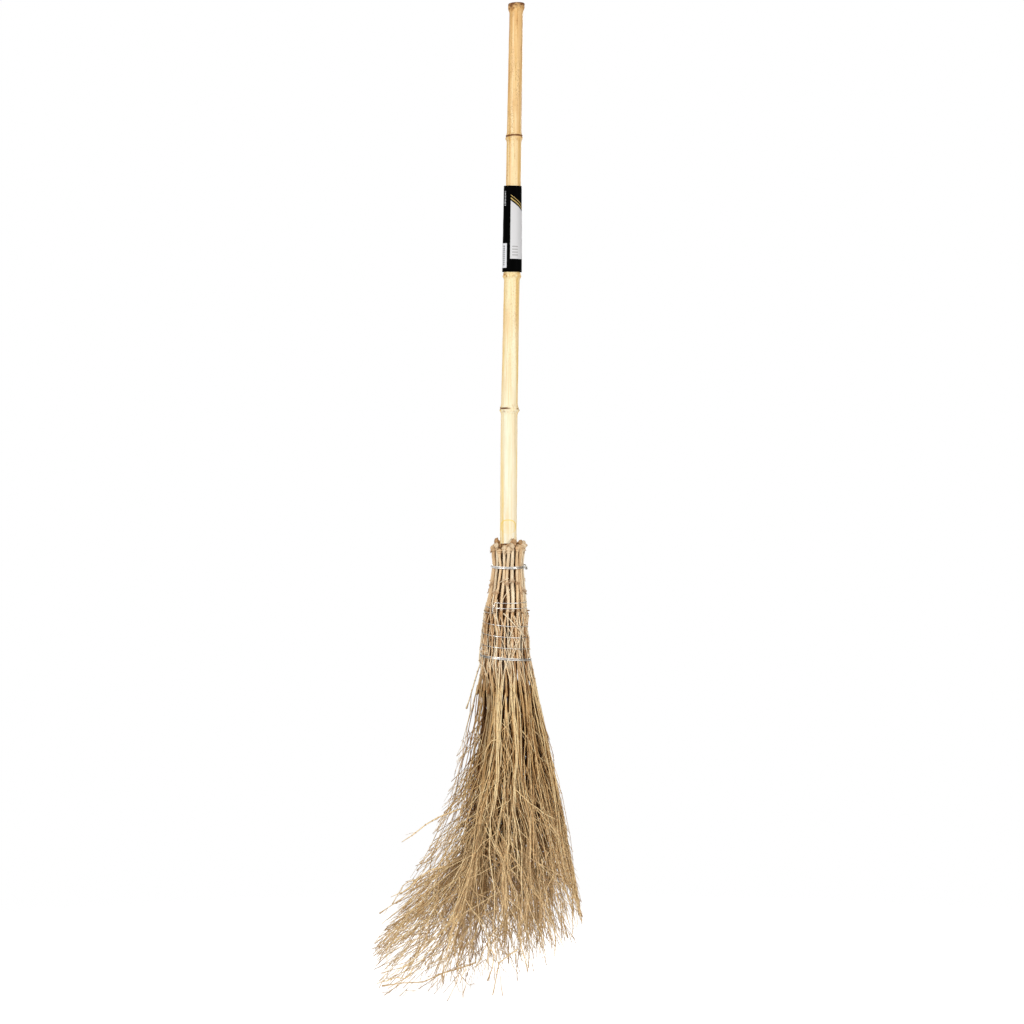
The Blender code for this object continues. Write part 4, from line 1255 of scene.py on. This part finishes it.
# Twigs that stray from the sweep, each as its thickness and the spots that it runs through, as
# columns and rows of the camera's frame: at the left edge, along the foot, and across the front.
STRAYS = (
    (0.0011, ((451, 808), (440, 816), (428, 823), (416, 833), (402, 842))),
    (0.0009, ((430, 862), (422, 873), (414, 884), (403, 892), (391, 897))),
    (0.0009, ((424, 866), (416, 880), (411, 893), (396, 903), (379, 914))),
    (0.0008, ((421, 874), (409, 881), (400, 889), (392, 904))),
    (0.0011, ((480, 961), (462, 967), (437, 975), (427, 980), (418, 983), (400, 983), (381, 986))),
    (0.0009, ((418, 983), (409, 978), (391, 978), (376, 984))),
    (0.0010, ((506, 940), (499, 962), (497, 975), (492, 996))),
    (0.0009, ((503, 948), (496, 960), (491, 972), (487, 981))),
    (0.0012, ((514, 722), (520, 728), (528, 737), (534, 752))),
    (0.0010, ((515, 789), (527, 800), (541, 812), (556, 820))),
    (0.0009, ((520, 796), (534, 806), (548, 822), (560, 838))),
    (0.0009, ((562, 798), (556, 806), (550, 815))),
    (0.0010, ((573, 872), (574, 890), (572, 905), (573, 922), (572, 938))),
    (0.0010, ((550, 905), (553, 925), (556, 942), (554, 957))),
    (0.0009, ((497, 734), (490, 741), (486, 752))),
)
# Twigs that lie slantwise over the neck, in the same way.
NECK_STRAYS = (
    (0.0011, ((503, 613), (510, 620), (518, 629), (525, 636))),
    (0.0009, ((509, 578), (504, 580), (499, 583))),
    (0.0008, ((510, 589), (505, 595), (502, 602))),
    (0.0012, ((489, 598), (486, 604), (484, 613), (486, 625))),
    (0.0010, ((489, 612), (485, 622), (488, 636), (484, 650))),
    (0.0012, ((486, 616), (483, 624), (481, 636), (483, 650))),
    (0.0012, ((486, 632), (481, 641), (480, 649), (483, 657))),
    (0.0012, ((525, 628), (529, 638), (530, 648), (528, 657))),
    (0.0008, ((508, 628), (515, 640), (519, 653))),
    (0.0008, ((523, 628), (517, 640), (512, 654))),
    (0.0008, ((497, 630), (503, 641), (507, 655))),
    (0.0009, ((520, 612), (514, 625), (509, 640), (506, 655))),
    (0.0009, ((526, 616), (522, 628), (519, 641), (513, 655))),
    (0.0009, ((512, 612), (519, 626), (524, 641), (528, 655))),
    (0.0008, ((489, 628), (494, 640), (497, 654))),
    (0.0009, ((496, 611), (491, 626), (488, 640), (486, 655))),
    (0.0008, ((500, 616), (505, 630), (509, 643), (511, 656))),
    (0.0011, ((481, 662), (477, 674), (472, 688), (470, 699), (466, 709))),
)
STRAY_THINNING = 0.6
STRAY_JOINT_GAP = 0.014
STRAY_ZIGZAG = 0.0009
STRAY_SWELL = 1.5
STRAY_TINTS = (0.6, 1.0)
STRAY_HAIR_CHANCE = 0.45
STRAY_REACH = 0.007
STRAY_DEPTH_COST = 0.2
STRAY_LOW_COST = 3.0
NECK_STRAY_ZIGZAG = 0.0005
NECK_STRAY_SWELL = 1.4
NECK_STRAY_TINTS = (0.9, 1.1)
NECK_STRAY_LIFT_SHARE = 3.9


def grow_stray(lines, places, thickness, zigzag, swell, tint, rng):
    """Adds a twig that runs from place to place, and gives its joints."""
    def path(share):
        spot = share * (len(places) - 1)
        step = min(int(spot), len(places) - 2)
        return places[step].lerp(places[step + 1], spot - step)

    length = sum((second - first).length for first, second in zip(places, places[1:]))
    kind = {"joint_gap": STRAY_JOINT_GAP, "zigzag": zigzag, "swell": swell}
    kind["radii"] = (thickness, thickness * STRAY_THINNING)
    return grow(lines, path, length, kind, tint, rng)


outer_twigs = {}
for order in range(OUTER_TWIGS):
    name = f"outer_twig_{order + 1:02d}"
    stout, fine, grown = dress_twig(name, True, order, OUTER_TWIGS)
    rough = random.Random(f"{name} shoots")
    for _ in range(NECK_SHOOTS):
        tint = rough.uniform(*OUTER_NECK_TINTS)
        neck_shoot(fine, True, 2 * math.pi * (order + 0.5) / OUTER_TWIGS, tint, rough)
    outer_twigs[name] = (stout, fine, grown)

for number, (thickness, spots) in enumerate(NECK_STRAYS):
    rough = random.Random(f"neck stray {number}")
    places = []
    for step, (column, row) in enumerate(spots):
        spot = seen_at(column, row)
        aside = spot.x - axis_at(spot.z).x
        lift = NECK_STRAY_LIFT_SHARE * thickness if step else 0.0
        radius = layer_radius(True, min(HEAD_TOP - spot.z, FAN_DROP)) + lift
        depth = -math.sqrt(max(0.0, radius * radius - aside * aside))
        places.append(seen_at(column, row, axis_at(spot.z).y + depth))
    aside = places[0] - axis_at(places[0].z)
    order = round(math.atan2(aside.y, aside.x) / (2 * math.pi) * OUTER_TWIGS - 0.5) % OUTER_TWIGS
    lines = outer_twigs[f"outer_twig_{order + 1:02d}"][1]
    tint = rough.uniform(*NECK_STRAY_TINTS)
    grow_stray(lines, places, thickness, NECK_STRAY_ZIGZAG, NECK_STRAY_SWELL, tint, rough)

for number, (thickness, spots) in enumerate(STRAYS):
    wanted, second = seen_at(*spots[0]), seen_at(*spots[1])
    rough = random.Random(f"stray {number}")
    near = []
    for name, (_, _, grown) in outer_twigs.items():
        for _, place, _ in grown:
            aside = max(math.hypot(place.x - wanted.x, place.z - wanted.z), STRAY_REACH)
            too_low = max(0.0, second.z - place.z)
            cost = aside + place.y * STRAY_DEPTH_COST + STRAY_LOW_COST * too_low
            near.append((cost, place.z, name, place))
    _, _, name, joint = min(near, key=lambda row: row[:3])
    lines = outer_twigs[name][1]
    tint = rough.uniform(*STRAY_TINTS)
    places = [joint, *(seen_at(*spot, joint.y) for spot in spots[1:])]
    joints = grow_stray(lines, places, thickness, STRAY_ZIGZAG, STRAY_SWELL, tint, rough)
    add_hairs(lines, joints, tint, rough, STRAY_HAIR_CHANCE)

for order, (name, (stout, fine, _)) in enumerate(outer_twigs.items()):
    build_spray(f"outer_spray_{order + 1:02d}", name, stout, fine, dry_wood)

# Wires: soft galvanised iron, wound tight round the twigs and fixed by twisting its two ends
# together. Two stout bindings hold the neck, with a thin tie and a thin spiral between them.
WIRE_GAP = 0.0005
WIRE_BED = 0.0003
WIRE_ROUNDNESS = 3
WIRE_SHARP_DEGREES = 50.0
LOOP_POINTS = 96
CURL_POINTS = 24
BEND_POINTS = 8
BEND_EASE = 1.5
TWIST_TURNS = 1.0
TWIST_PITCH_SHARE = 3.0
TWIST_BEND_SHARE = 1.5
TWIST_RISE_SHARE = 1.25
TWIST_DIP_DEGREES = 78.0
FORK_HEIGHT = 0.014
# Painted shade: the wires' colour is darkened at both sides of the neck, which leaves them bright at the
# front.
NECK_MIDDLE = -0.019
NECK_HALF_WIDTH = 0.030


def wire_bed(drop):
    """The radius that a wire's underside has to clear at a drop."""
    half = TWIG_DIAMETER / 2
    if drop >= FORK_DROP + FORK_HEIGHT:
        half *= math.cos(math.pi / 4)
    return layer_radius(True, drop) + half + WIRE_BED


def wire_path(shape):
    """One wire's line: a twisted leg, the turns, and the other leg, twisted round the first."""
    diameter, turns, _, drop, tie_degrees = shape[:5]
    radius = diameter / 2
    tie_angle = math.radians(tie_degrees)
    twist_radius = radius + WIRE_GAP / 2
    bend = diameter * TWIST_BEND_SHARE
    rise = (diameter + WIRE_GAP) * TWIST_RISE_SHARE
    opening = (twist_radius + bend) / (wire_bed(drop) + radius)
    first, last = tie_angle + opening, tie_angle + 2 * math.pi * turns - opening

    def on_twigs(angle, low):
        return axis_at(HEAD_TOP - low) + spoke(angle) * (wire_bed(low) + bulge_at(angle, low) + radius)

    loops, drops = [], []
    for step in range(round(LOOP_POINTS * turns) + 1):
        angle = first + (last - first) * step / round(LOOP_POINTS * turns)
        low = wire_drop(shape, angle)
        drops.append(low)
        loops.append(on_twigs(angle, low))

    outward = spoke(tie_angle)
    along = Vector((-outward.y, outward.x, 0.0))
    dip = math.radians(TWIST_DIP_DEGREES)
    leg = outward * math.cos(dip) - Vector((0.0, 0.0, math.sin(dip)))
    tie_drop = (drops[0] + drops[-1]) / 2
    base = on_twigs(tie_angle, tie_drop) + outward * rise
    legs = []
    for side, end_drop in ((1, drops[0]), (-1, drops[-1])):
        points = []
        for step in range(1, BEND_POINTS + 1):
            share = step / BEND_POINTS
            turn = math.pi / 2 * share**BEND_EASE
            low = tie_drop + (end_drop - tie_drop) * math.cos(turn)
            inward = twist_radius + bend * (1 - share) ** 2
            over = outward * (rise * math.sin(turn)) + along * (side * inward)
            points.append(on_twigs(tie_angle, low) + over)
        for step in range(1, round(CURL_POINTS * TWIST_TURNS) + 1):
            turn = 2 * math.pi * step / CURL_POINTS
            curl = along * math.cos(turn) + along.cross(leg) * math.sin(turn)
            out = diameter * TWIST_PITCH_SHARE * step / CURL_POINTS
            points.append(base + leg * out + curl * (side * twist_radius))
        legs.append(points)
    return legs[0][::-1] + loops + legs[1]


zinc, tree, paint = finish_of("zinc_wire", (0.60, 0.60, 0.60), 0.34, Metallic=1.0)
spangle = grain(tree, (160.0, 160.0, 160.0), 2.0)
spangle_and_shade = ramp(tree, spangle, (0.32, (0.54, 0.52, 0.49)), (0.62, (0.86, 0.86, 0.85)))
aside = sum_of(tree, "ABSOLUTE", sum_of(tree, "SUBTRACT", axes_of(tree)["X"], NECK_MIDDLE))
aside = sum_of(tree, "DIVIDE", aside, NECK_HALF_WIDTH)
# Painted shade at both sides of the neck, laid over the zinc's spangle.
painted_side_shade = ramp(tree, aside, (0.50, 1.0), (0.85, (0.46, 0.44, 0.40)))
spangle_and_shade = mixed(tree, "MULTIPLY", 1.0, spangle_and_shade, painted_side_shade)
link(tree, spangle_and_shade, paint.inputs["Base Color"])
link(tree, ramp(tree, spangle, (0.3, 0.42), (0.7, 0.28)), paint.inputs["Roughness"])

for name, shape in WIRES.items():
    line = [(place, shape[0] / 2) for place in wire_path(shape)]
    bm = bmesh.new()
    bm.from_mesh(tube_mesh(name, [line], WIRE_ROUNDNESS, True))
    bmesh.ops.remove_doubles(bm, verts=bm.verts, dist=MERGE_REACH)
    wire_mesh = mesh_of(f"{name}_winding", bm, WIRE_SHARP_DEGREES)
    wire = link_object(f"{name}_winding", wire_mesh, zinc)
    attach(wire, "broom")
    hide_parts(name)

# Label: a strip of glossy black card wrapped loosely round the cane between two nodes, with its
# ends glued over each other at the back. It is printed with an upright silver-grey panel.
LABEL_HEIGHT = 0.129
LABEL_TOP_SIZE = (0.0266, 0.0256)
LABEL_FOOT_SIZE = (0.0292, 0.0264)
LABEL_LEAN = 0.0008
LABEL_CARD = 0.0004
LABEL_WALL_SHARE = 0.8
LABEL_LAP_DEGREES = 40.0
LABEL_LAP_EASE = 1.2
LABEL_COLUMNS = 132
LABEL_ROWS = 36
LABEL_SEAT_GAP = 0.0003
LABEL_NODE_INDEX = 2
LABEL_CRUMPLE = 0.00016
CRUMPLES_ROUND = 3
CRUMPLES_UP = 9
RIDGE_SHARE = -0.5
LABEL_BLACK = (0.0012, 0.0012, 0.0012)
# The print, in shares of the way round the card and up it. A panel with a slanted top, and the
# stripes over it, are bounded by their height plus PANEL_SLANT of the way round.
PANEL_SIDES = (0.470, 0.700)
PANEL_FOOT = 0.150
PANEL_SLANT = 0.55
PANEL_TOP = 1.085
STRIPES = ((1.107, 1.122), (1.146, 1.155))
# Plain boxes: bounds round the card and up it, dashes in the card's height, gaps and colour.
BOXES = (
    ((0.300, 0.415), (0.045, 0.33), 0.0, -1.0, (0.78, 0.78, 0.80)),
    ((0.335, 0.372), (0.065, 0.31), 43.0, 0.45, (0.10, 0.10, 0.11)),
    ((0.345, 0.380), (0.76, 0.94), 58.0, 0.5, (0.60, 0.60, 0.61)),
    ((0.500, 0.590), (0.190, 0.320), 30.0, 0.68, (0.36, 0.35, 0.34)),
)

foot = axis_at(-node_drops[LABEL_NODE_INDEX] - RIDGE_SHARE * NODE_REACH + LABEL_SEAT_GAP)
way = axis_at(-node_drops[LABEL_NODE_INDEX - 1]) - axis_at(-node_drops[LABEL_NODE_INDEX])
lean = Vector((0.0, 0.0, 1.0)).rotation_difference(way).to_matrix()
lap = math.radians(LABEL_LAP_DEGREES)

bm = bmesh.new()
bmesh.ops.create_grid(bm, x_segments=LABEL_COLUMNS, y_segments=LABEL_ROWS, size=0.5)
print_map = bm.loops.layers.uv.new("print")
for face in bm.faces:
    for corner in face.loops:
        corner[print_map].uv = (corner.vert.co.x + 0.5, corner.vert.co.y + 0.5)
for vert in bm.verts:
    round_share, rise = vert.co.x + 0.5, vert.co.y + 0.5
    angle = math.pi / 2 - lap / 2 + (2 * math.pi + lap) * round_share
    over = LABEL_CARD * (round_share > 1 - lap / (2 * math.pi + lap) * LABEL_LAP_EASE)
    crumple = LABEL_CRUMPLE * noise.noise(Vector((angle * CRUMPLES_ROUND, rise * CRUMPLES_UP, 0.0)))
    wide, deep = (
        (low + (high - low) * rise) / 2 + over + crumple
        for low, high in zip(LABEL_FOOT_SIZE, LABEL_TOP_SIZE)
    )
    spot = Vector((math.cos(angle) * wide, math.sin(angle) * deep, 0.0))
    spot += Vector((-LABEL_LEAN * rise, 0.0, LABEL_HEIGHT * rise))
    vert.co = foot + lean @ spot
label_mesh = mesh_of("label_card", bm)

card, tree, paint = finish_of("printed_card", LABEL_BLACK, 0.5, Specular_IOR_Level=0.006)
print_place = node(tree, "UVMap", uv_map="print").outputs[0]
around, up, _ = node(tree, "SeparateXYZ", {0: print_place}).outputs


def inside(value, low, high):
    """1 where a value lies between two others, else 0."""
    above = sum_of(tree, "GREATER_THAN", value, low)
    return product(tree, above, sum_of(tree, "LESS_THAN", value, high))


slanted = sum_of(tree, "ADD", up, product(tree, around, PANEL_SLANT))
sides = inside(around, *PANEL_SIDES)
panel = product(tree, sides, inside(slanted, 0.0, PANEL_TOP), inside(up, PANEL_FOOT, 1.0))
stripes = product(tree, sides, sum_of(tree, "ADD", *(inside(slanted, *bounds) for bounds in STRIPES)))
print_colour = mixed(tree, "MIX", panel, LABEL_BLACK, (0.68, 0.67, 0.67))
print_colour = mixed(tree, "MIX", stripes, print_colour, (0.55, 0.40, 0.14))
for bounds, heights, dashes, gap, colour in BOXES:
    dashed = sum_of(tree, "GREATER_THAN", sum_of(tree, "FRACT", product(tree, up, dashes)), gap)
    box = product(tree, inside(around, *bounds), inside(up, *heights), dashed)
    print_colour = mixed(tree, "MIX", box, print_colour, colour)
link(tree, print_colour, paint.inputs["Base Color"])
bumped(tree, paint, grain(tree, (180.0, 180.0, 120.0), 2.0), 0.0002)

label = link_object("label_card", label_mesh, card)
wall = label.modifiers.new("card", "SOLIDIFY")
wall.thickness = LABEL_CARD * LABEL_WALL_SHARE
wall.offset = 0.0
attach(label, "label")
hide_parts("label_sleeve")
